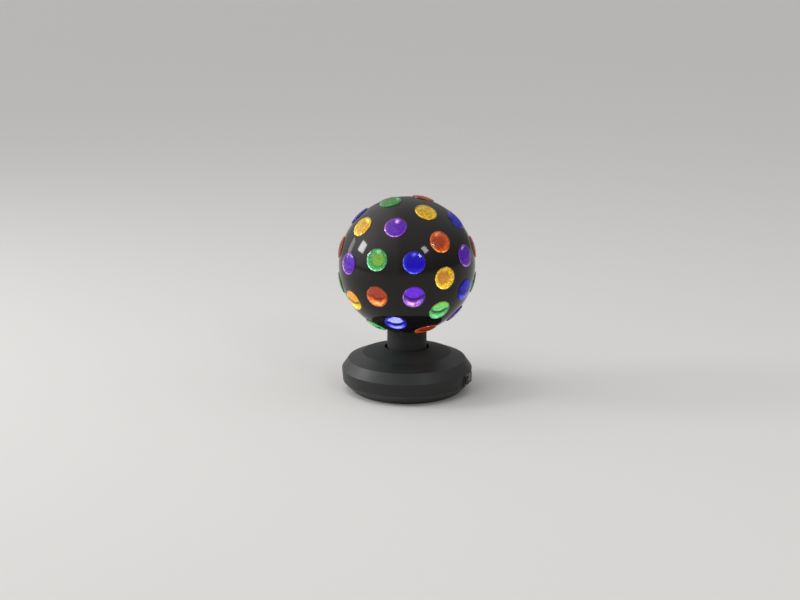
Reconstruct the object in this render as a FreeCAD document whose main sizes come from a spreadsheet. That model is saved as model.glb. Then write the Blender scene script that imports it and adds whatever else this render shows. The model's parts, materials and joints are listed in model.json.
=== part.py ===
"""Rotating motion lamp: a black ball set with coloured lenses that turns on a round base.

Millimetres, +Z up, the origin on the floor at the middle of the feet, the front towards -Y.
The ball is two half shells. They part on an upright plane through the turning axis, so the
lenses on that plane and the neck below them are held between the halves. A fixed steel
spindle stands in the base, carries the hub on two bushes and the light head in the ball's
middle, and a gear motor turns the hub through one pair of gears.
"""
import FreeCAD, Part
import math
import os
import re

import Sketcher

Vector = FreeCAD.Vector
ABOUT_Z = Vector(0, 0, 1)

# alias: (value, what it is). Millimetres or degrees.
SIZES = {
    # used all over
    "spare": (5.0, "how far a cut runs past the surface that it opens"),
    "fit": (0.1, "side clearance of parts that are pushed together"),
    "head_play": (0.4, "play round a sunk screw head, and round wires in a duct"),
    # ball
    "ball_radius": (100.0, "outside of the ball"),
    "shell_wall": (2.8, "wall of a half shell"),
    "seam_gap": (0.1, "play between the two half shells"),
    "ball_turn": (32.3, "turn of the ball's pole from the front, degrees"),
    "tongue_wall": (1.6, "tongue that locates the halves on each other"),
    "tongue_reach": (3.0, "how far the tongue enters the front half"),
    "tongue_root": (8.0, "how far the tongue runs back along its own half"),
    "tongue_bite": (0.4, "how far the tongue's root is set in its own wall"),
    "post_slim": (1.0, "how much slimmer a shell post is than a hub ear"),
    # lenses
    "lens_radius": (16.2, "flange of a lens"),
    "lens_edge": (2.9, "height of the flange's edge over its seat"),
    "lens_dome": (1.9, "crown of the lens over its edge"),
    "lens_round": (1.3, "rounding of the flange's edge"),
    "lens_sink": (0.5, "depth of the flat seat in the shell"),
    "plug_radius": (14.0, "plug behind the flange"),
    "plug_depth": (7.2, "length of the plug behind the seat"),
    "plug_dish": (2.0, "hollow in the plug's back"),
    "dish_radius": (11.2, "radius of that hollow at the plug's back"),
    "ring_step": (30.0, "angle between rings of lenses, degrees"),
    # hub
    "neck_radius": (29.2, "outside of the hub, seen as the neck"),
    "neck_showing": (27.9, "neck between base and ball"),
    "hub_wall": (5.5, "wall of the hub"),
    "hub_web": (4.0, "floor of the hub"),
    "ledge_width": (2.0, "ledge that carries the bearing plate"),
    "plate_thick": (4.0, "bearing plate"),
    "lip_reach": (3.6, "lip that holds the hub in the ball"),
    "lip_thick": (2.0, "thickness of the lip"),
    "ear_radius": (5.5, "half width of a hub ear"),
    "ear_thick": (4.5, "thickness of a hub ear"),
    "ear_circle": (39.0, "distance of the ear screws from the turning axis"),
    "ear_gap": (0.5, "ears under the inside of the ball"),
    "plate_sink": (6.0, "bearing plate under the hub's lip"),
    "lug_radius": (3.0, "lugs that take the plate's screws"),
    # base
    "base_height": (64.5, "rim of the hole for the neck"),
    "hole_radius": (33.0, "hole for the neck"),
    "collar_depth": (8.0, "collar hanging from that hole"),
    "collar_wall": (2.0, "wall of the collar"),
    "crown_radius": (65.5, "upper edge of the base"),
    "crown_drop": (8.2, "upper edge under the rim of that hole"),
    "shoulder_radius": (86.5, "second edge of the base"),
    "shoulder_drop": (8.7, "second edge under the upper edge"),
    "rim_radius": (96.6, "widest edge of the base"),
    "rim_height": (33.2, "height of the widest edge"),
    "waist_radius": (95.0, "parting between housing and tray"),
    "waist_height": (15.0, "height of that parting"),
    "floor_radius": (81.5, "lowest edge of the tray"),
    "foot_stand": (1.2, "height of the tray over the floor"),
    "crown_round": (1.2, "rounding of the upper edge"),
    "shoulder_round": (1.6, "rounding of the second edge"),
    "rim_round": (2.4, "rounding of the widest edge"),
    "floor_round": (1.5, "rounding of the lowest edge"),
    "housing_wall": (2.6, "wall of housing and tray"),
    "tray_floor": (3.0, "floor of the tray"),
    "pad_rise": (3.0, "pad under the spindle foot"),
    "pad_radius": (27.0, "radius of that pad"),
    "tongue_height": (2.4, "tray tongue inside the housing"),
    "tongue_thick": (1.8, "thickness of the tray tongue"),
    "post_radius": (5.0, "screw posts of housing and tray"),
    "post_circle": (72.0, "distance of the posts from the axis"),
    "foot_radius": (8.0, "rubber foot"),
    "foot_circle": (60.0, "distance of the feet from the axis"),
    "foot_sink": (1.0, "recess of a foot in the tray"),
    # spindle and bearings
    "spindle_radius": (8.0, "outside of the spindle"),
    "spindle_wall": (1.5, "wall of the spindle"),
    "flange_radius": (24.0, "flange of the spindle foot"),
    "flange_thick": (3.0, "thickness of that flange"),
    "flange_circle": (18.0, "distance of its screws from the axis"),
    "boss_radius": (13.0, "boss of the spindle foot"),
    "washer_thick": (1.0, "thrust washer"),
    "washer_radius": (12.6, "outside of the thrust washer"),
    "bush_radius": (10.5, "barrel of a bush"),
    "bush_flange": (2.0, "flange of a bush"),
    "bush_flange_radius": (14.0, "outside of a bush flange"),
    "run_play": (0.05, "radial play of a running fit"),
    "end_play": (0.15, "axial play of the hub"),
    "ring_thick": (1.0, "retaining ring"),
    "ring_width": (2.6, "radial width of the retaining ring"),
    "ring_mouth": (4.8, "half of the ring's open mouth"),
    "groove_depth": (0.4, "groove in the spindle for that ring"),
    "wire_slot": (3.2, "radius of the wire hole in the spindle"),
    # gears and motor
    "gear_level": (37.0, "underside of the gears"),
    "gear_thick": (6.0, "face width of the gears"),
    "gear_module": (1.2, "module of the gears"),
    "gear_teeth": (60, "teeth of the drive gear"),
    "pinion_teeth": (15, "teeth of the pinion"),
    "gear_play": (0.2, "play between the teeth"),
    "gear_screw_circle": (19.0, "distance of the gear screws from the axis"),
    "gear_sink": (0.3, "gear screws under the gear's face"),
    "gear_spread": (0.1, "added to the distance between the gears' axes"),
    "motor_radius": (12.0, "motor can"),
    "motor_length": (24.0, "motor can"),
    "motor_nose": (5.0, "radius of the motor's front boss"),
    "shaft_radius": (2.0, "motor shaft"),
    "shaft_sink": (4.0, "motor shaft inside the can"),
    "shaft_tip": (1.0, "motor shaft over the pinion"),
    "motor_bore": (3.2, "depth of the motor's threaded holes"),
    "bracket_thick": (2.0, "motor bracket"),
    "bracket_drop": (2.0, "gap between bracket and gears"),
    "bracket_width": (26.0, "motor bracket along the radius"),
    "bracket_reach": (18.0, "distance of its posts from the motor's axis"),
    "bracket_post": (4.0, "radius of its posts"),
    "motor_screw_circle": (8.6, "distance of the motor screws from the motor's axis"),
    # light head
    "core_apothem": (13.0, "half width of the six-sided core"),
    "core_height": (46.0, "height of the core"),
    "core_socket": (14.0, "depth of the socket for the spindle"),
    "core_duct": (4.0, "radius of the wire duct in the core"),
    "strip_width": (12.0, "light strip"),
    "strip_thick": (1.2, "thickness of the light strips and the top board"),
    "strip_margin": (2.0, "core left bare above and below a strip"),
    "chip_side": (5.0, "light chip"),
    "chip_thick": (1.0, "thickness of a light chip"),
    "chip_pitch": (13.0, "distance between chips"),
    "top_board_radius": (11.0, "round board on the core"),
    "top_chip_shift": (3.0, "chips on the round board, from its middle"),
    # electrics
    "board_gap": (11.4, "control board before the inlet's barrel"),
    "board_length": (44.0, "control board across the lamp"),
    "board_depth": (24.0, "control board along the radius"),
    "board_thick": (1.6, "thickness of the control board"),
    "board_rise": (7.0, "height of the control board over the tray"),
    "board_screw_span": (18.0, "distance of its screws from the middle"),
    "board_post": (3.0, "radius of its posts"),
    "capacitor_radius": (3.0, "capacitor on the control board"),
    "capacitor_height": (8.0, "height of a capacitor"),
    "port_half": (4.0, "half width of a wire port on the board"),
    "port_depth": (6.0, "depth of a wire port"),
    "port_shift": (7.5, "side ports, from the middle of the board"),
    "wire_radius": (1.1, "pair of wires in one sleeve"),
    "wire_rise": (3.0, "height of the wires over the control board"),
    "wire_bend": (6.5, "bend of the wires"),
    "jack_radius": (5.4, "barrel of the power inlet"),
    "jack_length": (14.0, "barrel inside the wall"),
    "jack_flange": (7.0, "radius of the inlet's flange"),
    "jack_flange_thick": (1.5, "thickness of that flange"),
    "jack_bore": (3.2, "radius of the plug opening"),
    "jack_depth": (10.0, "depth of the plug opening"),
    "jack_pin_radius": (1.05, "centre pin of the inlet"),
    "nut_thick": (2.5, "nut of the inlet"),
    "nut_rim": (2.0, "rim of that nut round its hole"),
    # switch
    "switch_turn": (-21.0, "direction of the switch from +X, degrees"),
    "seat_play": (0.3, "play round the bezel and the inlet's flange"),
    "bezel_width": (31.0, "bezel along the wall"),
    "bezel_height": (15.6, "height of the bezel"),
    "bezel_thick": (2.0, "thickness of the bezel"),
    "switch_width": (27.8, "switch case along the wall"),
    "switch_height": (12.0, "height of the switch case"),
    "switch_depth": (17.0, "switch case behind the bezel"),
    "well_width": (24.8, "well for the rocker"),
    "well_height": (10.4, "height of the well"),
    "well_depth": (6.8, "depth of the well behind the bezel"),
    "rocker_half": (11.4, "half length of the rocker"),
    "rocker_gap": (0.3, "gap above and below the rocker"),
    "rocker_tilt": (9.0, "tilt of the rocker either way, degrees"),
    "rocker_pin": (1.0, "radius of the rocker's pin"),
    "pivot_sink": (0.5, "pivot behind the wall's flat"),
    "rocker_rise": (2.0, "ends of the rocker over the bezel"),
    "rocker_valley": (0.2, "middle of the rocker over the bezel"),
    "rocker_back": (3.2, "depth of the rocker behind its pivot"),
    "rocker_heel": (3.0, "half width of the rocker's back"),
    "blade_length": (7.0, "terminal blades"),
    "blade_half": (2.4, "half width of a blade"),
    "blade_pitch": (8.0, "distance between blades"),
    "blade_half_thick": (0.4, "half thickness of a blade"),
    # screws
    "screw_radius": (1.45, "shank of an M3 screw"),
    "screw_head": (2.8, "head of an M3 screw"),
    "screw_head_thick": (1.8, "thickness of that head"),
    "screw_socket": (1.4, "corner radius of the hexagon socket"),
    "shell_screw": (9.0, "shank of a shell screw"),
    "short_screw": (6.0, "shank of a screw in plate, bracket or board"),
    "base_screw": (16.0, "shank of a base screw"),
    "base_screw_sink": (6.0, "depth of a base screw's head in the tray"),
}

# Heights and distances that follow from the sizes, as formulas of them.
DERIVED = {
    "ball_centre": "base_height + neck_showing + sqrt(ball_radius ^ 2 - neck_radius ^ 2)",
    "inner_radius": "ball_radius - shell_wall",
    "seat_radius": "lens_radius + fit",
    "lens_seat": "sqrt(ball_radius ^ 2 - seat_radius ^ 2) - lens_sink",
    "lip_radius": "neck_radius + lip_reach",
    "lip_drop": "sqrt(inner_radius ^ 2 - lip_radius ^ 2) - fit",
    "ear_drop": "sqrt(inner_radius ^ 2 - (ear_circle + ear_radius) ^ 2) - ear_gap",
    "hub_top": "ball_centre - ear_drop + ear_thick",
    "head_drop": "sqrt(ball_radius ^ 2 - (ear_circle + screw_head) ^ 2) - screw_head_thick / 2",
    "gear_top": "gear_level + gear_thick",
    "hub_bore": "neck_radius - hub_wall",
    "ledge_level": "ball_centre - lip_drop - plate_thick - plate_sink",
    "plate_radius": "hub_bore + ledge_width",
    "plate_circle": "plate_radius - screw_head - head_play",
    "tray_top": "foot_stand + tray_floor",
    "pad_top": "tray_top + pad_rise",
    "flange_top": "pad_top + flange_thick",
    "boss_top": "gear_level - bush_flange - end_play - washer_thick",
    "plate_top": "ledge_level + plate_thick",
    "ring_level": "plate_top + bush_flange + end_play",
    "core_foot": "ball_centre - core_height / 2",
    "spindle_top": "core_foot + core_socket",
    "centre_distance": "gear_module * (gear_teeth + pinion_teeth) / 2 + gear_spread",
    "bracket_top": "gear_level - bracket_drop",
    "bracket_level": "bracket_top - bracket_thick",
    "board_level": "tray_top + board_rise",
    "board_top": "board_level + board_thick",
    "wire_level": "board_top + wire_rise",
    "crown_height": "base_height - crown_drop",
    "shoulder_height": "crown_height - shoulder_drop",
    "wall_level": "(waist_height + rim_height) / 2",
    "wall_taper": "abs(rim_radius - waist_radius) / (rim_height - waist_height)",
    "wall_radius": "(waist_radius + rim_radius) / 2",
    "wall_flat": "sqrt(wall_radius ^ 2 - (bezel_width / 2) ^ 2)",
    "jack_flat": "sqrt(wall_radius ^ 2 - jack_flange ^ 2) - fit",
    "nut_corner": "(jack_radius + nut_rim) / hex",
    "nut_face": "sqrt((wall_radius - nut_corner * wall_taper - housing_wall) ^ 2 - nut_corner ^ 2) - fit",
    "tongue_outer": "waist_radius - housing_wall - fit",
    "tongue_inner": "tongue_outer - tongue_thick",
    "slant": "housing_wall * sqrt(1 + slope ^ 2) / slope",
    "slope": "(waist_height - foot_stand) / (waist_radius - floor_radius)",
    "hex": "cos(30)",
    "clear_hole": "screw_radius + fit",
    "thread_hole": "screw_radius + fit / 2",
    "head_hole": "screw_head + head_play",
    "lens_edge_level": "lens_seat + lens_edge",
    "lens_back": "lens_seat - plug_depth",
    "crown_curve": "(lens_radius ^ 2 + lens_dome ^ 2) / (2 * lens_dome)",
    "gear_seat": "gear_level + screw_head_thick + gear_sink",
    "shaft_foot": "bracket_level - shaft_sink",
    "can_foot": "bracket_level - motor_length",
    "strip_face": "core_apothem + strip_thick",
    "core_top": "core_foot + core_height",
    "board_centre": "jack_foot - board_gap - board_depth / 2",
    "board_near": "board_centre - board_depth / 2",
    "board_far": "board_centre + board_depth / 2",
    "port_line": "board_centre - port_shift",
    "jack_foot": "jack_flat - jack_length",
    "switch_back": "wall_flat - switch_depth",
    "blade_end": "switch_back - blade_length",
    "pivot": "wall_flat - pivot_sink",
    "wire_line": "core_duct - wire_radius - head_play",
}

# Lens colours ring by ring from the ball's pole, each ring counted anticlockwise.
LENS_RINGS = (
    ("amber",),
    ("violet", "red", "blue", "violet", "green", "blue"),
    ("red", "blue", "amber", "violet", "green", "red", "blue", "red", "violet", "green"),
    ("neck", "amber", "red", "violet", "amber", "red", "green", "amber", "violet", "amber", "green"),
    ("green", "violet", "amber", "blue", "red", "green", "red", "blue", "green", "blue"),
    ("amber", "green", "violet", "red", "amber", "violet"),
    ("green",),
)
LENS_COLOURS = ("amber", "red", "green", "blue", "violet")

doc = FreeCAD.newDocument("motion_lamp")
nodes = []


def fill_sheet():
    """Puts every driving size in the sheet, with its meaning beside it."""
    sheet = doc.addObject("Spreadsheet::Sheet", "Sizes")
    for row, (alias, (size, meaning)) in enumerate(SIZES.items(), start=1):
        sheet.set(f"A{row}", meaning)
        sheet.set(f"B{row}", str(size))
        sheet.setAlias(f"B{row}", alias)
    doc.recompute()
    return sheet


sizes = fill_sheet()


def bound(formula):
    """The formula with derived names worked in and each size read from the sheet."""
    def swap(match):
        word = match.group(0)
        if word in DERIVED:
            return "(" + bound(DERIVED[word]) + ")"
        return "Sizes." + word if word in SIZES else word
    return re.sub(r"[a-z_][a-z_0-9]*", swap, str(formula))


def number(formula):
    """The present value of a formula."""
    return float(sizes.evalExpression(bound(formula)))


# ------------------------------------------------------------------ building blocks

def place(piece, at=(0, 0, 0), turn="0", lean=("0", "0"), own_turn="0"):
    """Binds a placement: at is given before the whole is turned about the Z axis."""
    x, y, z = (f"({bound(part)})" for part in at)
    spin, yaw, pitch, roll = (f"({bound(part)})" for part in (turn, f"({turn}) + {own_turn}", *lean))
    base = f"vector({x} * cos({spin}) - {y} * sin({spin}); {x} * sin({spin}) + {y} * cos({spin}); {z})"
    piece.setExpression("Placement", f"placement({base}; rotation({yaw}; {pitch}; {roll}))")
    return piece


def cylinder(name, radius, height, at=(0, 0, 0), turn="0", lean=("0", "0")):
    piece = doc.addObject("Part::Cylinder", name)
    piece.setExpression("Radius", bound(radius))
    piece.setExpression("Height", bound(height))
    return place(piece, at, turn, lean)


def block(name, low, high, turn="0"):
    """A box between two corners, given before the turn about the Z axis."""
    piece = doc.addObject("Part::Box", name)
    for side, start, end in zip(("Length", "Width", "Height"), low, high):
        piece.setExpression(side, bound(f"({end}) - ({start})"))
    return place(piece, low, turn)


def hexagon(name, corner_radius, height, at=(0, 0, 0), turn="0", lean=("0", "0")):
    piece = doc.addObject("Part::Prism", name)
    piece.Polygon = 6
    piece.setExpression("Circumradius", bound(corner_radius))
    piece.setExpression("Height", bound(height))
    return place(piece, at, turn, lean)


def sphere(name, radius, at=(0, 0, 0)):
    piece = doc.addObject("Part::Sphere", name)
    piece.setExpression("Radius", bound(radius))
    return place(piece, at)


def joined(name, *pieces):
    whole = doc.addObject("Part::MultiFuse", name)
    whole.Shapes = list(pieces)
    return whole


def grouped(name, *pieces):
    """Separate solids kept side by side."""
    group = doc.addObject("Part::Compound", name)
    group.Links = list(pieces)
    return group


def cut(name, whole, *tools):
    rest = doc.addObject("Part::Cut", name)
    rest.Base = whole
    rest.Tool = tools[0] if len(tools) == 1 else joined(name + "_tools", *tools)
    return rest


def common(name, first, second):
    piece = doc.addObject("Part::Common", name)
    piece.Base = first
    piece.Tool = second
    return piece


def node(label, piece):
    """Names a finished sub-part. Its label is its file's name."""
    piece.Label = label
    nodes.append(piece)
    return piece


def origin_plane(body, role):
    return next(plane for plane in body.Origin.OriginFeatures if plane.Role == role)


def profile_sketch(body, role, corners):
    """A closed outline. A corner is (across, up), or (across, up, radius) where an arc that
    bulges away from the outline's inside leads on to the next corner."""
    sketch = body.newObject("Sketcher::SketchObject", body.Name + "_outline")
    sketch.AttachmentSupport = (origin_plane(body, role), [""])
    sketch.MapMode = "FlatFace"
    points = [Vector(number(corner[0]), number(corner[1]), 0) for corner in corners]
    ends = []
    for index, corner in enumerate(corners):
        start, end = points[index], points[(index + 1) % len(points)]
        if len(corner) == 2:
            ends.append((sketch.addGeometry(Part.LineSegment(start, end), False), 1, 2))
            continue
        radius, half = number(corner[2]), (end - start) / 2
        inward = Vector(-half.y, half.x, 0).normalize()
        centre = start + half + inward * math.sqrt(radius ** 2 - half.Length ** 2)
        angles = [math.atan2(point.y - centre.y, point.x - centre.x) for point in (start, end)]
        circle = Part.Circle(centre, ABOUT_Z, radius)
        ends.append((sketch.addGeometry(Part.ArcOfCircle(circle, *angles), False), 1, 2))
    for index, corner in enumerate(corners):
        edge, first, last = ends[index]
        following = ends[(index + 1) % len(corners)]
        sketch.addConstraint(Sketcher.Constraint("Coincident", edge, last, following[0], following[1]))
        for kind, axis, size in (("DistanceX", -2, corner[0]), ("DistanceY", -1, corner[1])):
            if str(size) == "0":
                sketch.addConstraint(Sketcher.Constraint("PointOnObject", edge, first, axis))
                continue
            distance = Sketcher.Constraint(kind, -1, 1, edge, first, number(size))
            sketch.setExpression(f"Constraints[{sketch.addConstraint(distance)}]", bound(size))
        if len(corner) > 2:
            radius = sketch.addConstraint(Sketcher.Constraint("Radius", edge, number(corner[2])))
            sketch.setExpression(f"Constraints[{radius}]", bound(corner[2]))
    return sketch


def round_corner(body, corner, radius):
    """Fillets the circle that an outline's corner sweeps."""
    doc.recompute()
    across, up = number(corner[0]), number(corner[1])
    solid, names = body.Tip, []
    for index, edge in enumerate(solid.Shape.Edges, start=1):
        if edge.Degenerated or not isinstance(edge.Curve, Part.Circle):
            continue
        if abs(edge.Curve.Radius - across) < 1e-4 and abs(edge.Curve.Center.z - up) < 1e-4:
            names.append(f"Edge{index}")
    fillet = body.newObject("PartDesign::Fillet", f"{body.Name}_round_{len(body.Group)}")
    fillet.Base = (solid, names)
    fillet.setExpression("Radius", bound(radius))


def turned(name, corners, rounds=()):
    """A PartDesign body turned about the Z axis from its outline. rounds lists (corner, radius)."""
    body = doc.addObject("PartDesign::Body", name)
    sketch = profile_sketch(body, "XZ_Plane", corners)
    revolution = body.newObject("PartDesign::Revolution", name + "_turned")
    revolution.Profile = sketch
    revolution.ReferenceAxis = (sketch, ["V_Axis"])
    revolution.Angle = 360
    for index, radius in rounds:
        round_corner(body, corners[index], radius)
    return body


def screw(name, shank, at, turn="0", downward=False):
    """A socket-head screw whose head seats at the point given. It points up, or down."""
    x, y, seat = at
    head_at = (x, y, seat if downward else f"({seat}) - screw_head_thick")
    shank_at = (x, y, f"({seat}) - ({shank})" if downward else seat)
    socket_at = (x, y, f"({seat}) + screw_head_thick / 2" if downward else f"({seat}) - screw_head_thick")
    head = cylinder(name + "_head", "screw_head", "screw_head_thick", head_at, turn)
    stem = cylinder(name + "_shank", "screw_radius", shank, shank_at, turn)
    socket = hexagon(name + "_socket", "screw_socket", "screw_head_thick / 2", socket_at, turn)
    return cut(name, joined(name + "_blank", head, stem), socket)


def screws(label, shank, spots, downward=False):
    """A node of equal screws. spots lists (at, turn)."""
    made = [screw(f"{label}_{index}", shank, at, turn, downward)
            for index, (at, turn) in enumerate(spots, start=1)]
    return node(label, grouped(label, *made))


def around(count, first=0):
    """Turns of parts spread evenly round the axis, in degrees."""
    return [str(first + 360 / count * index) for index in range(count)]


# ------------------------------------------------------------------ ball

def lens_directions():
    """(colour, direction) of every lens in the ball's own frame: +Z the pole, +Y up."""
    spots = []
    for ring, colours in enumerate(LENS_RINGS):
        away = math.radians(number("ring_step") * ring)
        step = 360 / len(colours)
        first = 270 if "neck" in colours else step / 2
        for index, colour in enumerate(colours):
            if colour == "neck":
                continue
            around_pole = math.radians(first + step * index)
            spots.append((colour, Vector(math.sin(away) * math.cos(around_pole),
                                         math.sin(away) * math.sin(around_pole), math.cos(away))))
    return spots


def on_directions(name, form, directions):
    """Copies of a form that stands on +Z, one along each direction."""
    doc.recompute()
    copies = []
    for direction in directions:
        copy = form.Shape.copy()
        copy.Placement = FreeCAD.Placement(Vector(), FreeCAD.Rotation(ABOUT_Z, direction))
        copies.append(copy)
    group = doc.addObject("Part::Feature", name)
    group.Shape = Part.makeCompound(copies)
    return group


def place_ball_part(piece):
    """Stands a part of the ball's own frame up at the ball's place on the lamp."""
    return place(piece, ("0", "0", "ball_centre"), "ball_turn", ("0", "90"))


def lens_form():
    """One lens: plug with a hollow back, flange, rounded edge and low crown."""
    corners = [
        ("0", "lens_back + plug_dish"), ("dish_radius", "lens_back"), ("plug_radius", "lens_back"),
        ("plug_radius", "lens_seat"), ("lens_radius", "lens_seat"),
        ("lens_radius", "lens_edge_level", "crown_curve"), ("0", "lens_edge_level + lens_dome"),
    ]
    return turned("lens_form", corners, [(5, "lens_round")])


def lens_seat_form():
    """What one lens takes out of the shell: plug hole and flat seat."""
    hole, start, end = "plug_radius + fit", "lens_back - spare", "lens_edge_level + lens_dome + spare"
    corners = [("0", start), (hole, start), (hole, "lens_seat"), ("seat_radius", "lens_seat"),
               ("seat_radius", end), ("0", end)]
    return turned("lens_seat_form", corners)


def half_shell(side, low, high, ears):
    """Half of the ball, in the ball's own frame, between two levels along the pole axis."""
    name = f"shell_{side}"
    skin = sphere(name + "_skin", "ball_radius")
    slab = block(name + "_slab", ("-ball_radius - spare", "-ball_radius - spare", low),
                 ("ball_radius + spare", "ball_radius + spare", high))
    posts = [cylinder(f"{name}_post_{index}", "ear_radius - post_slim", "ball_radius - ear_drop",
                      (f"ear_circle * cos({ear})", "-ball_radius", f"ear_circle * sin({ear})"),
                      lean=("0", "-90"))
             for index, ear in enumerate(ears, start=1)]
    hollow = cut(name + "_hollow", sphere(name + "_room", "inner_radius"), *posts)
    half = common(name + "_half", cut(name + "_wall", skin, hollow), slab)
    holes = []
    for index, ear in enumerate(ears, start=1):
        across, along = f"ear_circle * cos({ear})", f"ear_circle * sin({ear})"
        holes.append(cylinder(f"{name}_bore_{index}", "clear_hole", "ball_radius",
                              (across, "-ball_radius - spare", along), lean=("0", "-90")))
        holes.append(cylinder(f"{name}_sink_{index}", "head_hole", "ball_radius + spare - head_drop",
                              (across, "-ball_radius - spare", along), lean=("0", "-90")))
    holes.append(cylinder(name + "_neck_hole", "neck_radius + 3 * fit", "ball_radius",
                          ("0", "-ball_radius - spare", "0"), lean=("0", "-90")))
    return half, holes


def tongue():
    """Ring on the rear half that enters the front half and centres it."""
    outer = sphere("tongue_outer_face", "inner_radius - fit")
    band = cylinder("tongue_band", "ball_radius", "tongue_root + tongue_reach", ("0", "0", "-tongue_root"))
    rib = sphere("tongue_rib_face", "inner_radius + tongue_bite")
    rib_band = cylinder("tongue_rib_band", "ball_radius", "tongue_root - seam_gap / 2",
                        ("0", "0", "-tongue_root"))
    solid = joined("tongue_solid", common("tongue_reach_part", outer, band),
                   common("tongue_rib_part", rib, rib_band))
    room = sphere("tongue_room", "inner_radius - tongue_wall")
    lip_room = cylinder("tongue_lip_room", "lip_radius + tongue_bite", "ball_radius",
                        ("0", "-ball_radius", "0"), lean=("0", "-90"))
    return cut("tongue", solid, room, lip_room)


def build_ball():
    spots = lens_directions()
    seats = on_directions("lens_seats", lens_seat_form(), [direction for _, direction in spots])
    front, front_holes = half_shell("front", "seam_gap / 2", "ball_radius + spare", (45, 135))
    rear, rear_holes = half_shell("rear", "-ball_radius - spare", "-seam_gap / 2", (225, 315))
    for side, whole, holes in (("front", front, front_holes),
                               ("rear", joined("shell_rear_whole", rear, tongue()), rear_holes)):
        bored = cut(f"shell_{side}_bored", whole, *holes)
        node(f"ball_shell_{side}", place_ball_part(cut(f"ball_shell_{side}", bored, seats)))
    form = lens_form()
    for colour in LENS_COLOURS:
        directions = [direction for name, direction in spots if name == colour]
        lenses = on_directions(f"lens_{colour}", form, directions)
        node(f"lens_{colour}", place_ball_part(lenses))
    screws("shell_screws", "shell_screw",
           [(("ear_circle", "0", "ball_centre - head_drop"), f"ball_turn + {turn}")
            for turn in around(4, 45)])


# ------------------------------------------------------------------ hub

def build_hub():
    lip_foot = "ball_centre - lip_drop"
    tube = turned("hub_tube", [
        ("bush_radius", "gear_top"), ("neck_radius", "gear_top"), ("neck_radius", lip_foot),
        ("lip_radius", lip_foot), ("lip_radius", f"{lip_foot} + lip_thick"),
        ("neck_radius", f"{lip_foot} + lip_thick"), ("neck_radius", "hub_top"),
        ("plate_radius", "hub_top"), ("plate_radius", "ledge_level"), ("hub_bore", "ledge_level"),
        ("hub_bore", "gear_top + hub_web"), ("bush_radius", "gear_top + hub_web")])
    ears, holes = [], []
    for index, turn in enumerate(around(4, 45), start=1):
        spin = f"ball_turn + {turn}"
        ears.append(block(f"hub_ear_{index}",
                          ("plate_radius + ear_gap", "-ear_radius", "ball_centre - ear_drop"),
                          ("ear_circle", "ear_radius", "hub_top"), spin))
        ears.append(cylinder(f"hub_ear_end_{index}", "ear_radius", "ear_thick",
                             ("ear_circle", "0", "ball_centre - ear_drop"), spin))
        holes.append(cylinder(f"hub_ear_hole_{index}", "thread_hole", "ear_thick + 2 * spare",
                              ("ear_circle", "0", "ball_centre - ear_drop - spare"), spin))
    for index, turn in enumerate(around(3), start=1):
        holes.append(cylinder(f"hub_gear_hole_{index}", "thread_hole", "hub_web + 2 * spare",
                              ("gear_screw_circle", "0", "gear_top - spare"), turn))
        holes.append(cylinder(f"hub_plate_hole_{index}", "thread_hole", "short_screw",
                              ("plate_circle", "0", "ledge_level - short_screw"), turn))
    lugs = [cylinder(f"hub_lug_{index}", "lug_radius", "short_screw",
                     ("plate_circle", "0", "ledge_level - short_screw"), turn)
            for index, turn in enumerate(around(3), start=1)]
    node("neck_hub", cut("neck_hub", joined("hub_whole", tube, *ears, *lugs), *holes))

    plate = turned("plate_blank", [
        ("bush_radius", "ledge_level"), ("plate_radius - fit", "ledge_level"),
        ("plate_radius - fit", "plate_top"), ("bush_radius", "plate_top")])
    plate_spots = [(("plate_circle", "0", "plate_top"), turn) for turn in around(3)]
    plate_holes = [cylinder(f"plate_hole_{index}", "clear_hole", "plate_thick + 2 * spare",
                            (at[0], "0", "ledge_level - spare"), turn)
                   for index, (at, turn) in enumerate(plate_spots, start=1)]
    node("bearing_plate", cut("bearing_plate", plate, *plate_holes))
    screws("plate_screws", "plate_thick + short_screw - ear_gap", plate_spots, downward=True)

    bore = "spindle_radius + run_play"
    node("lower_bush", turned("lower_bush", [
        (bore, "gear_level - bush_flange"), ("bush_flange_radius", "gear_level - bush_flange"),
        ("bush_flange_radius", "gear_level"), ("bush_radius", "gear_level"),
        ("bush_radius", "gear_top + hub_web"), (bore, "gear_top + hub_web")]))
    node("upper_bush", turned("upper_bush", [
        (bore, "ledge_level"), ("bush_radius", "ledge_level"), ("bush_radius", "plate_top"),
        ("bush_flange_radius", "plate_top"), ("bush_flange_radius", "plate_top + bush_flange"),
        (bore, "plate_top + bush_flange")]))


# ------------------------------------------------------------------ gears and motor

PRESSURE_ANGLE, TOOTH_RISE, TOOTH_DROP = math.radians(20), 0.9, 1.2


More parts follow.
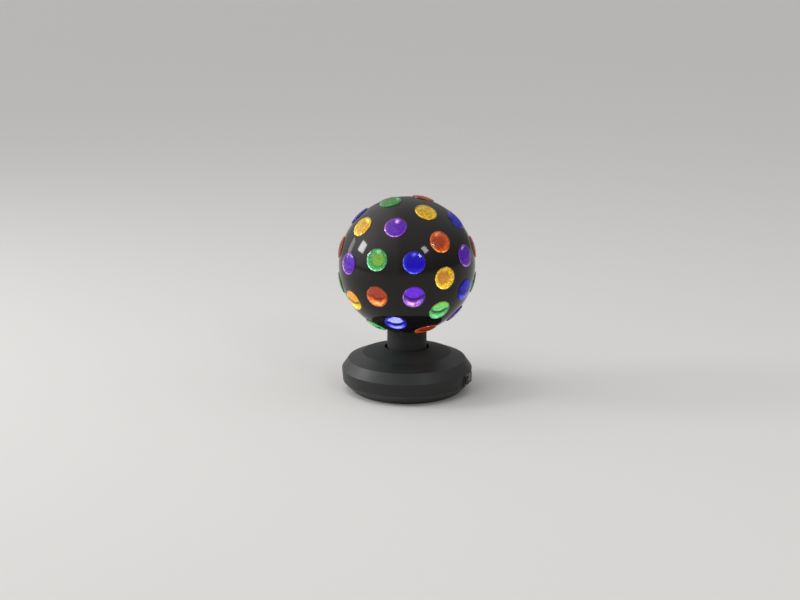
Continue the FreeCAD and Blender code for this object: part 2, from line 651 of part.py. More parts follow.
def gear_shape(teeth, bore, first_tooth):
    """An involute gear's blank, with its first tooth in the direction given in degrees."""
    module, play = number("gear_module"), number("gear_play")
    pitch = module * teeth / 2
    base = pitch * math.cos(PRESSURE_ANGLE)
    tip, root = pitch + TOOTH_RISE * module, pitch - TOOTH_DROP * module

    def swing(radius):
        """Involute angle at a radius."""
        unrolled = math.sqrt(max((radius / base) ** 2 - 1, 0))
        return unrolled - math.atan(unrolled)

    at_pitch = math.pi / (2 * teeth) - play / (4 * pitch) + swing(pitch)
    lowest = max(base, root)
    flank = [(lowest + (tip - lowest) * step / 4, at_pitch - swing(lowest + (tip - lowest) * step / 4))
             for step in range(5)]
    if root < base:
        flank.insert(0, (root, flank[0][1]))
    outline = []
    for tooth in range(teeth):
        middle = math.radians(first_tooth) + 2 * math.pi * tooth / teeth
        for radius, half in flank:
            outline.append((radius, middle - half))
        for radius, half in reversed(flank):
            outline.append((radius, middle + half))
    points = [Vector(radius * math.cos(angle), radius * math.sin(angle), number("gear_level"))
              for radius, angle in outline]
    face = Part.Face(Part.makePolygon(points + points[:1]))
    thick = number("gear_thick")
    hole = Part.makeCylinder(bore, 3 * thick, Vector(0, 0, number("gear_level") - thick))
    return face.extrude(Vector(0, 0, thick)).cut(hole)


def gear(name, teeth, bore, first_tooth):
    blank = doc.addObject("Part::Feature", name)
    blank.Shape = gear_shape(int(number(teeth)), number(bore), first_tooth)
    return blank


def build_drive():
    blank = gear("drive_gear_blank", "gear_teeth", "bush_radius + fit / 2", 180)
    spots = [(("gear_screw_circle", "0", "gear_seat"), turn) for turn in around(3)]
    tools = []
    for index, (at, turn) in enumerate(spots, start=1):
        tools.append(cylinder(f"gear_hole_{index}", "clear_hole", "gear_thick + 2 * spare",
                              (at[0], "0", "gear_level - spare"), turn))
        tools.append(cylinder(f"gear_sink_{index}", "head_hole", "gear_seat - gear_level + spare",
                              (at[0], "0", "gear_level - spare"), turn))
    node("drive_gear", cut("drive_gear", blank, *tools))
    screws("gear_screws", "gear_top + hub_web - gear_seat", spots)

    pinion = gear("pinion", "pinion_teeth", "shaft_radius", 180 / number("pinion_teeth"))
    node("pinion", place(pinion, ("-centre_distance", "0", "0")))
    node("motor_shaft", cylinder("motor_shaft", "shaft_radius", "gear_top + shaft_tip - shaft_foot",
                                 ("-centre_distance", "0", "shaft_foot")))

    can = cylinder("motor_can", "motor_radius", "motor_length", ("-centre_distance", "0", "can_foot"))
    nose = cylinder("motor_boss", "motor_nose", "bracket_thick", ("-centre_distance", "0", "bracket_level"))
    middle = "motor_radius / 2"
    tabs = [block(f"motor_tab_{side}",
                  ("-centre_distance - blade_half / 2", f"{side} * {middle} - blade_half_thick",
                   "can_foot - blade_half"),
                  ("-centre_distance + blade_half / 2", f"{side} * {middle} + blade_half_thick",
                   "can_foot + blade_half"))
            for side in (1, -1)]
    screw_at = [("-centre_distance", f"{side} * motor_screw_circle") for side in (1, -1)]
    shaft_room = cylinder("motor_shaft_room", "shaft_radius + run_play", "shaft_sink + bracket_thick + spare",
                          ("-centre_distance", "0", "shaft_foot - end_play"))
    pilot = [cylinder(f"motor_pilot_{index}", "thread_hole", "motor_bore + spare",
                      (x, y, "bracket_level - motor_bore")) for index, (x, y) in enumerate(screw_at, start=1)]
    node("motor", cut("motor", joined("motor_blank", can, nose, *tabs), shaft_room, *pilot))

    reach = "bracket_reach + bracket_post + bracket_thick / 2"
    plate = block("bracket_plate", ("-centre_distance - bracket_width / 2", f"-({reach})", "bracket_level"),
                  ("-centre_distance + bracket_width / 2", reach, "bracket_top"))
    post_at = [("-centre_distance", f"{side} * bracket_reach") for side in (1, -1)]
    holes = [cylinder("bracket_nose_hole", "motor_nose + fit", "bracket_thick + 2 * spare",
                      ("-centre_distance", "0", "bracket_level - spare"))]
    holes += [cylinder(f"bracket_hole_{index}", "clear_hole", "bracket_thick + 2 * spare",
                       (x, y, "bracket_level - spare"))
              for index, (x, y) in enumerate(screw_at + post_at, start=1)]
    node("motor_bracket", cut("motor_bracket", plate, *holes))
    screws("motor_screws", "bracket_thick + motor_bore - fit",
           [((x, y, "bracket_top"), "0") for x, y in screw_at], downward=True)
    screws("bracket_screws", "bracket_thick + short_screw",
           [((x, y, "bracket_top"), "0") for x, y in post_at], downward=True)
    return post_at


# ------------------------------------------------------------------ spindle

def build_spindle():
    foot = turned("spindle_foot_blank", [
        ("spindle_radius", "pad_top"), ("flange_radius", "pad_top"), ("flange_radius", "flange_top"),
        ("boss_radius", "flange_top"), ("boss_radius", "boss_top"), ("spindle_radius", "boss_top")])
    wire_hole = cylinder("foot_wire_hole", "wire_slot", "boss_radius + spare", ("0", "0", "wire_level"),
                         lean=("0", "-90"))
    flange_spots = [(("flange_circle", "0", "flange_top"), turn) for turn in around(3, 30)]
    holes = [cylinder(f"foot_hole_{index}", "clear_hole", "flange_thick + 2 * spare",
                      (at[0], "0", "pad_top - spare"), turn)
             for index, (at, turn) in enumerate(flange_spots, start=1)]
    node("spindle_foot", cut("spindle_foot", foot, wire_hole, *holes))
    screws("spindle_screws", "flange_thick + pad_rise", flange_spots, downward=True)

    rod = cylinder("spindle_rod", "spindle_radius", "spindle_top - pad_top", ("0", "0", "pad_top"))
    bore = cylinder("spindle_bore", "spindle_radius - spindle_wall", "spindle_top - pad_top + 2 * spare",
                    ("0", "0", "pad_top - spare"))
    groove = turned("spindle_groove", [
        ("spindle_radius - groove_depth", "ring_level"), ("spindle_radius + spare", "ring_level"),
        ("spindle_radius + spare", "ring_level + ring_thick + fit"),
        ("spindle_radius - groove_depth", "ring_level + ring_thick + fit")])
    side_hole = cylinder("spindle_wire_hole", "wire_slot", "spindle_radius + spare", ("0", "0", "wire_level"),
                         lean=("0", "-90"))
    node("spindle", cut("spindle", rod, bore, groove, side_hole))

    node("thrust_washer", turned("thrust_washer", [
        ("spindle_radius + fit", "boss_top"), ("washer_radius", "boss_top"),
        ("washer_radius", "boss_top + washer_thick"), ("spindle_radius + fit", "boss_top + washer_thick")]))
    ring = turned("ring_blank", [
        ("spindle_radius - groove_depth", "ring_level"),
        ("spindle_radius - groove_depth + ring_width", "ring_level"),
        ("spindle_radius - groove_depth + ring_width", "ring_level + ring_thick"),
        ("spindle_radius - groove_depth", "ring_level + ring_thick")])
    gap = block("ring_gap", ("0", "-ring_mouth", "ring_level - spare"),
                ("spindle_radius + 2 * spare", "ring_mouth", "ring_level + ring_thick + spare"))
    node("retaining_ring", cut("retaining_ring", ring, gap))


def build_light_head():
    core = hexagon("core_blank", "core_apothem / hex", "core_height", ("0", "0", "core_foot"))
    socket = cylinder("core_socket_room", "spindle_radius", "core_socket", ("0", "0", "core_foot"))
    duct = cylinder("core_duct_room", "core_duct", "core_height + 2 * spare", ("0", "0", "core_foot - spare"))
    node("light_core", cut("light_core", core, socket, duct))

    strips, chips = [], []
    for side, turn in enumerate(around(6, 30), start=1):
        strips.append(block(f"light_strip_{side}",
                            ("core_apothem", "-strip_width / 2", "core_foot + strip_margin"),
                            ("strip_face", "strip_width / 2", "core_top - strip_margin"), turn))
        for step in (-1, 0, 1):
            middle = f"ball_centre + {step} * chip_pitch"
            chips.append(block(f"light_chip_{side}_{step + 2}",
                               ("strip_face", "-chip_side / 2", f"{middle} - chip_side / 2"),
                               ("strip_face + chip_thick", "chip_side / 2", f"{middle} + chip_side / 2"),
                               turn))
    strips.append(cylinder("top_board", "top_board_radius", "strip_thick", ("0", "0", "core_top")))
    for index, turn in enumerate(around(3), start=1):
        chips.append(block(f"top_chip_{index}",
                           ("top_chip_shift", "-chip_side / 2", "core_top + strip_thick"),
                           ("top_chip_shift + chip_side", "chip_side / 2",
                            "core_top + strip_thick + chip_thick"), turn))
    node("light_boards", grouped("light_boards", *strips))
    node("light_chips", grouped("light_chips", *chips))


# ------------------------------------------------------------------ base

def base_spots():
    """Turns of the four screw posts that join housing and tray."""
    return around(4, 45)


def build_housing():
    outside = turned("housing_outside", [
        ("0", "base_height"), ("hole_radius", "base_height"), ("crown_radius", "crown_height"),
        ("shoulder_radius", "shoulder_height"), ("rim_radius", "rim_height"),
        ("waist_radius", "waist_height"), ("0", "waist_height")],
        [(2, "crown_round"), (3, "shoulder_round"), (4, "rim_round")])
    inside = turned("housing_inside", [
        ("0", "base_height - housing_wall"), ("hole_radius", "base_height - housing_wall"),
        ("crown_radius", "crown_height - housing_wall"),
        ("shoulder_radius - housing_wall / 2", "shoulder_height - housing_wall"),
        ("rim_radius - housing_wall", "rim_height"), ("waist_radius - housing_wall", "waist_height"),
        ("waist_radius - housing_wall", "waist_height - spare"), ("0", "waist_height - spare")])
    collar = turned("housing_collar", [
        ("hole_radius", "base_height - collar_depth"),
        ("hole_radius + collar_wall", "base_height - collar_depth"),
        ("hole_radius + collar_wall", "base_height"), ("hole_radius", "base_height")])
    posts, tools = [], []
    for index, turn in enumerate(base_spots(), start=1):
        at = ("post_circle", "0", "waist_height - spare")
        posts.append(cylinder(f"housing_post_{index}", "post_radius", "base_height", at, turn))
        tools.append(cylinder(f"housing_pilot_{index}", "thread_hole", "base_screw", at, turn))
    tools.append(cylinder("housing_neck_hole", "hole_radius", "base_height", ("0", "0", "waist_height")))
    half_width, half_height = "bezel_width / 2 + seat_play", "bezel_height / 2 + seat_play"
    tools.append(block("switch_seat", ("wall_flat", f"-({half_width})", f"wall_level - ({half_height})"),
                       ("rim_radius + spare", half_width, f"wall_level + {half_height}"), "switch_turn"))
    half_width, half_height = "switch_width / 2 + fit", "switch_height / 2 + fit"
    tools.append(block("switch_window",
                       ("wall_flat - 2 * spare", f"-({half_width})", f"wall_level - ({half_height})"),
                       ("wall_flat + spare", half_width, f"wall_level + {half_height}"), "switch_turn"))
    tools.append(cylinder("jack_seat", "jack_flange + seat_play", "3 * spare",
                          ("0", "jack_flat", "wall_level"), lean=("0", "-90")))
    tools.append(cylinder("jack_hole", "jack_radius + fit", "4 * spare",
                          ("0", "jack_flat - 2 * spare", "wall_level"), lean=("0", "-90")))
    shell = cut("housing_shell", outside, cut("housing_room", inside, collar, *posts))
    node("base_housing", cut("base_housing", shell, *tools))


def tray_post(name, radius, top, hole, hole_low, at, turn="0"):
    """A post on the tray's floor and the hole in it, both up to the top."""
    x, y = at
    post = cylinder(name, radius, f"{top} - foot_stand - tray_floor / 2",
                    (x, y, "foot_stand + tray_floor / 2"), turn)
    return post, cylinder(name + "_hole", hole, f"{top} + spare - ({hole_low})", (x, y, hole_low), turn)


def build_tray(motor_posts):
    dish = turned("tray_dish", [
        ("0", "foot_stand"), ("floor_radius", "foot_stand"), ("waist_radius", "waist_height"),
        ("tongue_outer", "waist_height"), ("tongue_outer", "waist_height + tongue_height"),
        ("tongue_inner", "waist_height + tongue_height"),
        ("tongue_inner", "foot_stand + slope * (tongue_inner - floor_radius + slant)"),
        ("floor_radius - slant + tray_floor / slope", "tray_top"),
        ("pad_radius", "tray_top"), ("pad_radius", "pad_top"), ("0", "pad_top")],
        [(1, "floor_round")])
    pairs = [tray_post(f"tray_post_{index}", "post_radius", "waist_height", "clear_hole", "0",
                       ("post_circle", "0"), turn) for index, turn in enumerate(base_spots(), start=1)]
    pairs += [tray_post(f"motor_post_{index}", "bracket_post", "bracket_level", "thread_hole",
                        "bracket_level - short_screw - head_play", at)
              for index, at in enumerate(motor_posts, start=1)]
    pairs += [tray_post(f"board_post_{side + 2}", "board_post", "board_level", "thread_hole",
                        "board_level - short_screw - head_play",
                        (f"{side} * board_screw_span", "board_centre"))
              for side in (1, -1)]
    tools = [hole for _, hole in pairs]
    tools += [cylinder(f"tray_sink_{index}", "head_hole", "base_screw_sink + spare",
                       ("post_circle", "0", "foot_stand - spare"), turn)
              for index, turn in enumerate(base_spots(), start=1)]
    tools += [cylinder(f"foot_recess_{index}", "foot_radius + fit", "foot_sink + spare",
                       ("foot_circle", "0", "foot_stand - spare"), turn)
              for index, turn in enumerate(around(4), start=1)]
    tools += [cylinder(f"pad_hole_{index}", "thread_hole", "pad_rise + spare",
                       ("flange_circle", "0", "tray_top - head_play"), turn)
              for index, turn in enumerate(around(3, 30), start=1)]
    tools.append(block("nut_notch",
                       ("-nut_corner - head_play", "tongue_inner - spare", "waist_height"),
                       ("nut_corner + head_play", "tongue_outer + spare",
                        "waist_height + tongue_height + spare")))
    node("base_tray", cut("base_tray", joined("tray_whole", dish, *(post for post, _ in pairs)), *tools))

    feet = [cylinder(f"foot_{index}", "foot_radius", "foot_stand + foot_sink",
                     ("foot_circle", "0", "0"), turn) for index, turn in enumerate(around(4), start=1)]
    node("rubber_feet", grouped("rubber_feet", *feet))
    screws("base_screws", "base_screw", [(("post_circle", "0", "foot_stand + base_screw_sink"), turn)
                                         for turn in base_spots()])


# ------------------------------------------------------------------ electrics

def wire(label, points):
    """A sleeve of wires along straight runs joined by arcs of the wires' bend, where it fits."""
    spots = [Vector(*(number(part) for part in point)) for point in points]
    edges, start = [], spots[0]
    for before, corner, after in zip(spots, spots[1:], spots[2:]):
        arrive, leave = (corner - before).normalize(), (after - corner).normalize()
        half = arrive.getAngle(leave) / 2
        trim = min(number("wire_bend") * math.tan(half),
                   0.45 * (corner - before).Length, 0.45 * (after - corner).Length)
        first, last, radius = corner - arrive * trim, corner + leave * trim, trim / math.tan(half)
        middle = corner + (leave - arrive).normalize() * (radius / math.cos(half) - radius)
        edges += [Part.LineSegment(start, first).toShape(), Part.Arc(first, middle, last).toShape()]
        start = last
    edges.append(Part.LineSegment(start, spots[-1]).toShape())
    direction = (spots[1] - spots[0]).normalize()
    ring = Part.Wire(Part.makeCircle(number("wire_radius"), spots[0], direction))
    sleeve = doc.addObject("Part::Feature", label)
    sleeve.Shape = Part.Wire(edges).makePipeShell([ring], True, False)
    return node(label, sleeve)


def build_board():
    plate = block("board_plate", ("-board_length / 2", "board_near", "board_level"),
                  ("board_length / 2", "board_far", "board_top"))
    spots = [((f"{side} * board_screw_span", "board_centre", "board_top"), "0") for side in (1, -1)]
    holes = [cylinder(f"board_hole_{index}", "clear_hole", "board_thick + 2 * spare",
                      (at[0], at[1], "board_level - spare")) for index, (at, _) in enumerate(spots, start=1)]
    node("control_board", cut("control_board", plate, *holes))
    screws("board_screws", "board_thick + short_screw", spots, downward=True)

    port_top = "wire_level + wire_radius + fit"
    side_low, side_high = "port_line - port_half", "port_line + port_half"
    ports = {
        "lamp": (("-port_half", "board_near", "board_top"),
                 ("port_half", "board_near + port_depth", port_top)),
        "inlet": (("-port_half", "board_far - port_depth", "board_top"),
                  ("port_half", "board_far", port_top)),
        "motor": (("-board_length / 2", side_low, "board_top"),
                  ("-board_length / 2 + port_depth", side_high, port_top)),
        "switch": (("board_length / 2 - port_depth", side_low, "board_top"),
                   ("board_length / 2", side_high, port_top)),
    }
    pieces = [block(f"{name}_port", low, high) for name, (low, high) in ports.items()]
    pieces += [cylinder(f"capacitor_{side + 2}", "capacitor_radius", "capacitor_height",
                        (f"{side} * board_screw_span / 2", "board_centre", "board_top")) for side in (1, -1)]
    pieces.append(block("driver_chip", ("-port_half", "board_centre - port_half", "board_top"),
                        ("port_half", "board_centre + port_half", "board_top + board_thick")))
    node("board_parts", grouped("board_parts", *pieces))


def build_inlet():
    backward = ("0", "-90")
    barrel = cylinder("jack_barrel", "jack_radius", "jack_length + jack_flange_thick",
                      ("0", "jack_foot", "wall_level"), lean=backward)
    flange = cylinder("jack_rim", "jack_flange", "jack_flange_thick",
                      ("0", "jack_flat", "wall_level"), lean=backward)
    mouth = cylinder("jack_mouth", "jack_bore", "jack_depth + spare",
                     ("0", "jack_flat + jack_flange_thick - jack_depth", "wall_level"), lean=backward)
    pin_start = "jack_foot + jack_pin_radius"
    pin_room = cylinder("jack_pin_room", "jack_pin_radius", "jack_length",
                        ("0", pin_start, "wall_level"), lean=backward)
    node("power_inlet", cut("power_inlet", joined("jack_blank", barrel, flange), mouth, pin_room))
    node("inlet_pin", cylinder("inlet_pin", "jack_pin_radius", "jack_length - jack_pin_radius",
                               ("0", pin_start, "wall_level"), lean=backward))
    nut = hexagon("nut_blank", "nut_corner", "nut_thick", ("0", "nut_face - nut_thick", "wall_level"),
                  lean=backward)
    nut_hole = cylinder("nut_hole", "jack_radius", "nut_thick + 2 * spare",
                        ("0", "nut_face - nut_thick - spare", "wall_level"), lean=backward)
    node("inlet_nut", cut("inlet_nut", nut, nut_hole))


def build_wires():
    wire("lamp_wires", [("0", "board_near", "wire_level"), ("0", "-wire_line", "wire_level"),
                        ("0", "-wire_line", "core_top")])
    wire("inlet_wires", [("0", "board_far", "wire_level"), ("0", "board_far + wire_rise", "wire_level"),
                         ("0", "jack_foot - wire_rise", "wall_level"), ("0", "jack_foot", "wall_level")])
    side = "-centre_distance + (motor_radius + 2 * spare) * cos(45)"
    wire("motor_wires", [
        ("-board_length / 2", "port_line", "wire_level"), (side, "port_line", "wire_level"),
        (side, "(motor_radius + 2 * spare) * sin(45)", "wire_level"),
        ("-centre_distance + motor_radius * cos(45)", "motor_radius * sin(45)", "wire_level")])
    before_blade = "blade_end - 3 * spare"
    wire("switch_wires", [
        ("board_length / 2", "port_line", "wire_level"),
        ("board_length / 2 + 2 * spare", "port_line", "wire_level"),
        (f"({before_blade}) * cos(switch_turn)", f"({before_blade}) * sin(switch_turn)", "wall_level"),
        ("blade_end * cos(switch_turn)", "blade_end * sin(switch_turn)", "wall_level")])


# ------------------------------------------------------------------ switch

def build_switch():
    """Everything of the switch, laid out along +X and turned to its place."""
    spin = "switch_turn"
    low, high = "wall_level - switch_height / 2", "wall_level + switch_height / 2"
    bezel = block("switch_bezel", ("wall_flat", "-bezel_width / 2", "wall_level - bezel_height / 2"),
                  ("wall_flat + bezel_thick", "bezel_width / 2", "wall_level + bezel_height / 2"), spin)
    case = block("switch_case", ("switch_back", "-switch_width / 2", low),
                 ("wall_flat + bezel_thick / 2", "switch_width / 2", high), spin)
    well = block("switch_well", ("wall_flat - well_depth", "-well_width / 2", "wall_level - well_height / 2"),
                 ("wall_flat + bezel_thick + spare", "well_width / 2", "wall_level + well_height / 2"), spin)
    pin_hole = cylinder("switch_pin_hole", "rocker_pin", "switch_height", ("pivot", "0", low), spin)
    node("switch_body", cut("switch_body", joined("switch_blank", bezel, case), well, pin_hole))
    node("rocker_pin", cylinder("rocker_pin", "rocker_pin", "switch_height", ("pivot", "0", low), spin))

    valley, crest = ("bezel_thick + pivot_sink + " + rise for rise in ("rocker_valley", "rocker_rise"))
    body = doc.addObject("PartDesign::Body", "rocker_paddle")
    pad = body.newObject("PartDesign::Pad", "rocker_pad")
    pad.Profile = profile_sketch(body, "XY_Plane", [
        (valley, "0"), (crest, "rocker_half"), ("rocker_valley", "rocker_half"),
        ("-rocker_back", "rocker_heel"), ("-rocker_back", "-rocker_heel"),
        ("rocker_valley", "-rocker_half"), (crest, "-rocker_half")])
    pad.setExpression("Length", bound("well_height - 2 * rocker_gap"))
    tilted = doc.addObject("Part::Compound", "rocker_tilted")
    tilted.Links = [body]
    at = ("pivot", "0", "wall_level - well_height / 2 + rocker_gap")
    place(tilted, at, spin, own_turn="rocker_tilt")
    hole = cylinder("rocker_hole", "rocker_pin + run_play", "switch_height", ("pivot", "0", low), spin)
    node("rocker", cut("rocker", tilted, hole))

    blades = [block(f"switch_blade_{step + 2}",
                    ("blade_end", f"{step} * blade_pitch - blade_half", "wall_level - blade_half_thick"),
                    ("switch_back", f"{step} * blade_pitch + blade_half",
                     "wall_level + blade_half_thick"), spin)
              for step in (-1, 0, 1)]
    node("switch_blades", grouped("switch_blades", *blades))


# ------------------------------------------------------------------ assembly

def check_and_export():
    """Stops at the first failed object or sub-part, then writes one file for each sub-part."""
    doc.recompute()
    for piece in doc.Objects:
        if "Invalid" in piece.State or "Error" in piece.State:
            raise RuntimeError(f"{piece.Label} failed: {piece.State}")
    for piece in nodes:
        if piece.Shape.isNull() or not piece.Shape.isValid() or not piece.Shape.Solids:
            raise RuntimeError(f"{piece.Label} has no sound solid")
    os.makedirs("parts", exist_ok=True)
    for piece in nodes:
        piece.Shape.exportStep(f"parts/{piece.Label}.step")
        print(f"{piece.Label}: {len(piece.Shape.Solids)} solids, {piece.Shape.Volume:.1f} mm3")


build_ball()
build_hub()
motor_posts = build_drive()
build_spindle()
build_light_head()
build_housing()
build_tray(motor_posts)
build_board()
build_inlet()
build_wires()
build_switch()
check_and_export()
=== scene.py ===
"""Looks of the rotating motion lamp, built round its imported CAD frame.

A gloss black ball set with tinted acrylic lenses turns on a satin black base. The lamp's sizes are
in millimetres, and one factor turns them to the scene's metres when a mesh is made. The lights'
sizes are in metres.
"""
import json
import logging
import math
from dataclasses import dataclass, field
from enum import Enum
from typing import Any, Dict, List, Optional, Tuple

import bmesh
import bpy
import numpy as np
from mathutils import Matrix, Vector

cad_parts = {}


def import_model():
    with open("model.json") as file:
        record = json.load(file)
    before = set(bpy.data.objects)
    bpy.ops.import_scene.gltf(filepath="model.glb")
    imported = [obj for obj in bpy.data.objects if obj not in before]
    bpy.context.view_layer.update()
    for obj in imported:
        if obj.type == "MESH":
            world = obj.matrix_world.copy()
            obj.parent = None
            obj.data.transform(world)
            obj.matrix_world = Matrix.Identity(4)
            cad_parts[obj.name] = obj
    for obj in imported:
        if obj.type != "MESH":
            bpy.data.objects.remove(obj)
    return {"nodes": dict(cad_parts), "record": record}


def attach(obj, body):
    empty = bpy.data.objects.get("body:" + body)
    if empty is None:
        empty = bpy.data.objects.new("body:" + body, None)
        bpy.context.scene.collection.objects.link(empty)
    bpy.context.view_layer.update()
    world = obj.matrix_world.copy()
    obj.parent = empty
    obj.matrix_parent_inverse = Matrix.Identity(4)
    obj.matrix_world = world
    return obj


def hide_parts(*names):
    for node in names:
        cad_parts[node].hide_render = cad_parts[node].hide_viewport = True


LOG = logging.getLogger("motion_lamp")
MM = 0.001
# Stands in for a divisor of zero.
TINY = 1e-20
# Values of a noise node between which most of a surface lies.
NOISE_SPAN = (0.3, 0.7)

Array = np.ndarray
Colour = Tuple[float, float, float, float]


# ---------------------------------------------------------------- nodes and meshes

def linear(hex_code: str) -> Colour:
    """Turns an sRGB hex colour into linear light, with full alpha.

    Args:
        hex_code: six hex digits, such as "2a2c2c".

    Returns:
        Red, green, blue and alpha from 0 to 1.
    """
    parts = [int(hex_code[start:start + 2], 16) / 255 for start in (0, 2, 4)]
    red, green, blue = (p / 12.92 if p <= 0.04045 else ((p + 0.055) / 1.055) ** 2.4 for p in parts)
    return red, green, blue, 1.0


def fill_inputs(tree: bpy.types.NodeTree, node: bpy.types.Node, links: Dict[Any, Any]) -> None:
    """Fills or links a node's inputs.

    Args:
        tree: the node tree.
        node: the node.
        links: input names or numbers, each with a value or with an output socket to link.
    """
    for name, value in links.items():
        if isinstance(value, bpy.types.NodeSocket):
            tree.links.new(value, node.inputs[name])
        else:
            node.inputs[name].default_value = value


def add_node(tree: bpy.types.NodeTree, kind: str, settings: Optional[Dict[str, Any]] = None,
             links: Optional[Dict[Any, Any]] = None) -> bpy.types.Node:
    """Adds a node, sets its properties, and fills or links its inputs.

    Args:
        tree: the node tree.
        kind: the node's type name without the leading "ShaderNode".
        settings: property names and their values.
        links: what fills its inputs.

    Returns:
        The new node.
    """
    node = tree.nodes.new("ShaderNode" + kind)
    for name, value in (settings or {}).items():
        setattr(node, name, value)
    fill_inputs(tree, node, links or {})
    return node


def new_material(name: str) -> Tuple[bpy.types.Material, bpy.types.NodeTree, bpy.types.Node]:
    """Makes a material, and returns it with its tree and its Principled shader."""
    material = bpy.data.materials.new(name)
    material.use_nodes = True
    return material, material.node_tree, material.node_tree.nodes["Principled BSDF"]


def place_in_scene(name: str, data: bpy.types.ID) -> bpy.types.Object:
    """Makes an object of a mesh, a light or a camera, and links it to the scene."""
    made = bpy.data.objects.new(name, data)
    bpy.context.scene.collection.objects.link(made)
    return made


def mesh_object(name: str, points: Array, faces: Array,
                sharp_deg: float = 30.0) -> bpy.types.Object:
    """Makes a smooth-shaded object from points in millimetres.

    Args:
        name: the object's name.
        points: N by 3 array in millimetres.
        faces: M by 3 array of point numbers.
        sharp_deg: edges that turn more than this are drawn sharp.

    Returns:
        The object, linked to the scene.
    """
    mesh = bpy.data.meshes.new(name)
    mesh.from_pydata(points * MM, [], faces.tolist())
    mesh.shade_smooth()
    mesh.set_sharp_from_angle(angle=math.radians(sharp_deg))
    return place_in_scene(name, mesh)


def lathe(profile: Array, columns: int) -> Tuple[Array, Array]:
    """Turns a profile round the Z axis: (r, h) becomes (r cos a, r sin a, h) for even steps of a.

    Where the profile starts or ends on the axis, the surface closes there in one point.

    Args:
        profile: N by 2 array of radius and height, from the top to the bottom.
        columns: points round the axis.

    Returns:
        Points, and triangles that face outwards.
    """
    angle = np.linspace(0, 2 * np.pi, columns, endpoint=False)
    radius, height = profile[:, :1], profile[:, 1:]
    points = np.stack([radius * np.cos(angle), radius * np.sin(angle), height + 0 * angle], axis=2)
    row, column = np.meshgrid(np.arange(len(profile) - 1), np.arange(columns), indexing="ij")
    following = (column + 1) % columns
    a, b = row * columns + column, row * columns + following
    c, d = b + columns, a + columns
    triangles = np.concatenate([np.stack([a, d, c], axis=2).reshape(-1, 3),
                                np.stack([a, c, b], axis=2).reshape(-1, 3)])
    own = np.arange(len(profile) * columns)
    for end in (0, len(profile) - 1):
        if profile[end, 0] == 0:
            own[end * columns:(end + 1) * columns] = end * columns
    triangles = own[triangles]
    whole = (triangles != np.roll(triangles, 1, axis=1)).all(axis=1)
    used, triangles = np.unique(triangles[whole], return_inverse=True)
    return points.reshape(-1, 3)[used], triangles.reshape(-1, 3)


def arc(centre: Tuple[float, float], radius: float, start_deg: float, end_deg: float,
        steps: int) -> Array:
    """Points on a circle's arc: centre plus radius times (cos a, sin a) for even steps of a."""
    angle = np.radians(np.linspace(start_deg, end_deg, steps))
    across, up = centre
    return np.stack([across + radius * np.cos(angle), up + radius * np.sin(angle)], axis=1)


def smooth(value: Array, low: float, high: float) -> Array:
    """Rises from 0 at low to 1 at high along t t (3 - 2 t), with t the share of the way."""
    share = np.clip((value - low) / (high - low), 0, 1)
    return share * share * (3 - 2 * share)


def assign(made: bpy.types.Object, material: bpy.types.Material) -> None:
    """Gives every slot of an object one material, and adds a slot where there is none."""
    if not made.material_slots:
        made.data.materials.append(material)
    for slot in made.material_slots:
        slot.material = material


def corner_arrays(mesh: bpy.types.Mesh) -> Tuple[Array, Array, Array, Array]:
    """Reads a triangle mesh as arrays.

    Args:
        mesh: a mesh of triangles only.

    Returns:
        Vertex places, each corner's vertex, each corner's face normal and each corner's face area.
    """
    places = np.zeros(len(mesh.vertices) * 3)
    mesh.vertices.foreach_get("co", places)
    corner = np.zeros(len(mesh.loops), dtype=np.int64)
    mesh.loops.foreach_get("vertex_index", corner)
    places = places.reshape(-1, 3)
    triangle = places[corner.reshape(-1, 3)]
    cross = np.cross(triangle[:, 1] - triangle[:, 0], triangle[:, 2] - triangle[:, 0])
    double_area = np.linalg.norm(cross, axis=1)
    normal = cross / np.maximum(double_area, TINY)[:, None]
    return places, corner, np.repeat(normal, 3, axis=0), np.repeat(double_area, 3)


def shade_as_sphere(made: bpy.types.Object, centre: Array, radius: float,
                    within_mm: float = 0.03, facing_cos: float = 0.9) -> None:
    """Shades the faces that lie on a sphere with the sphere's own normals, and the rest flat.

    Args:
        made: a joined copy.
        centre: the sphere's middle in metres.
        radius: its radius in metres.
        within_mm: how far a corner on the sphere may be off it.
        facing_cos: least cosine between a face on the sphere and the sphere's normal.
    """
    places, corner, normal, _ = corner_arrays(made.data)
    outward = places[corner] - centre
    distance = np.linalg.norm(outward, axis=1)
    outward /= distance[:, None]
    near = (np.abs(distance - radius) < within_mm * MM).reshape(-1, 3).all(axis=1)
    facing = (normal * outward).sum(axis=1).reshape(-1, 3).min(axis=1) > facing_cos
    on_sphere = np.repeat(near & facing, 3)
    made.data.shade_smooth()
    made.data.normals_split_custom_set(np.where(on_sphere[:, None], outward, normal).tolist())


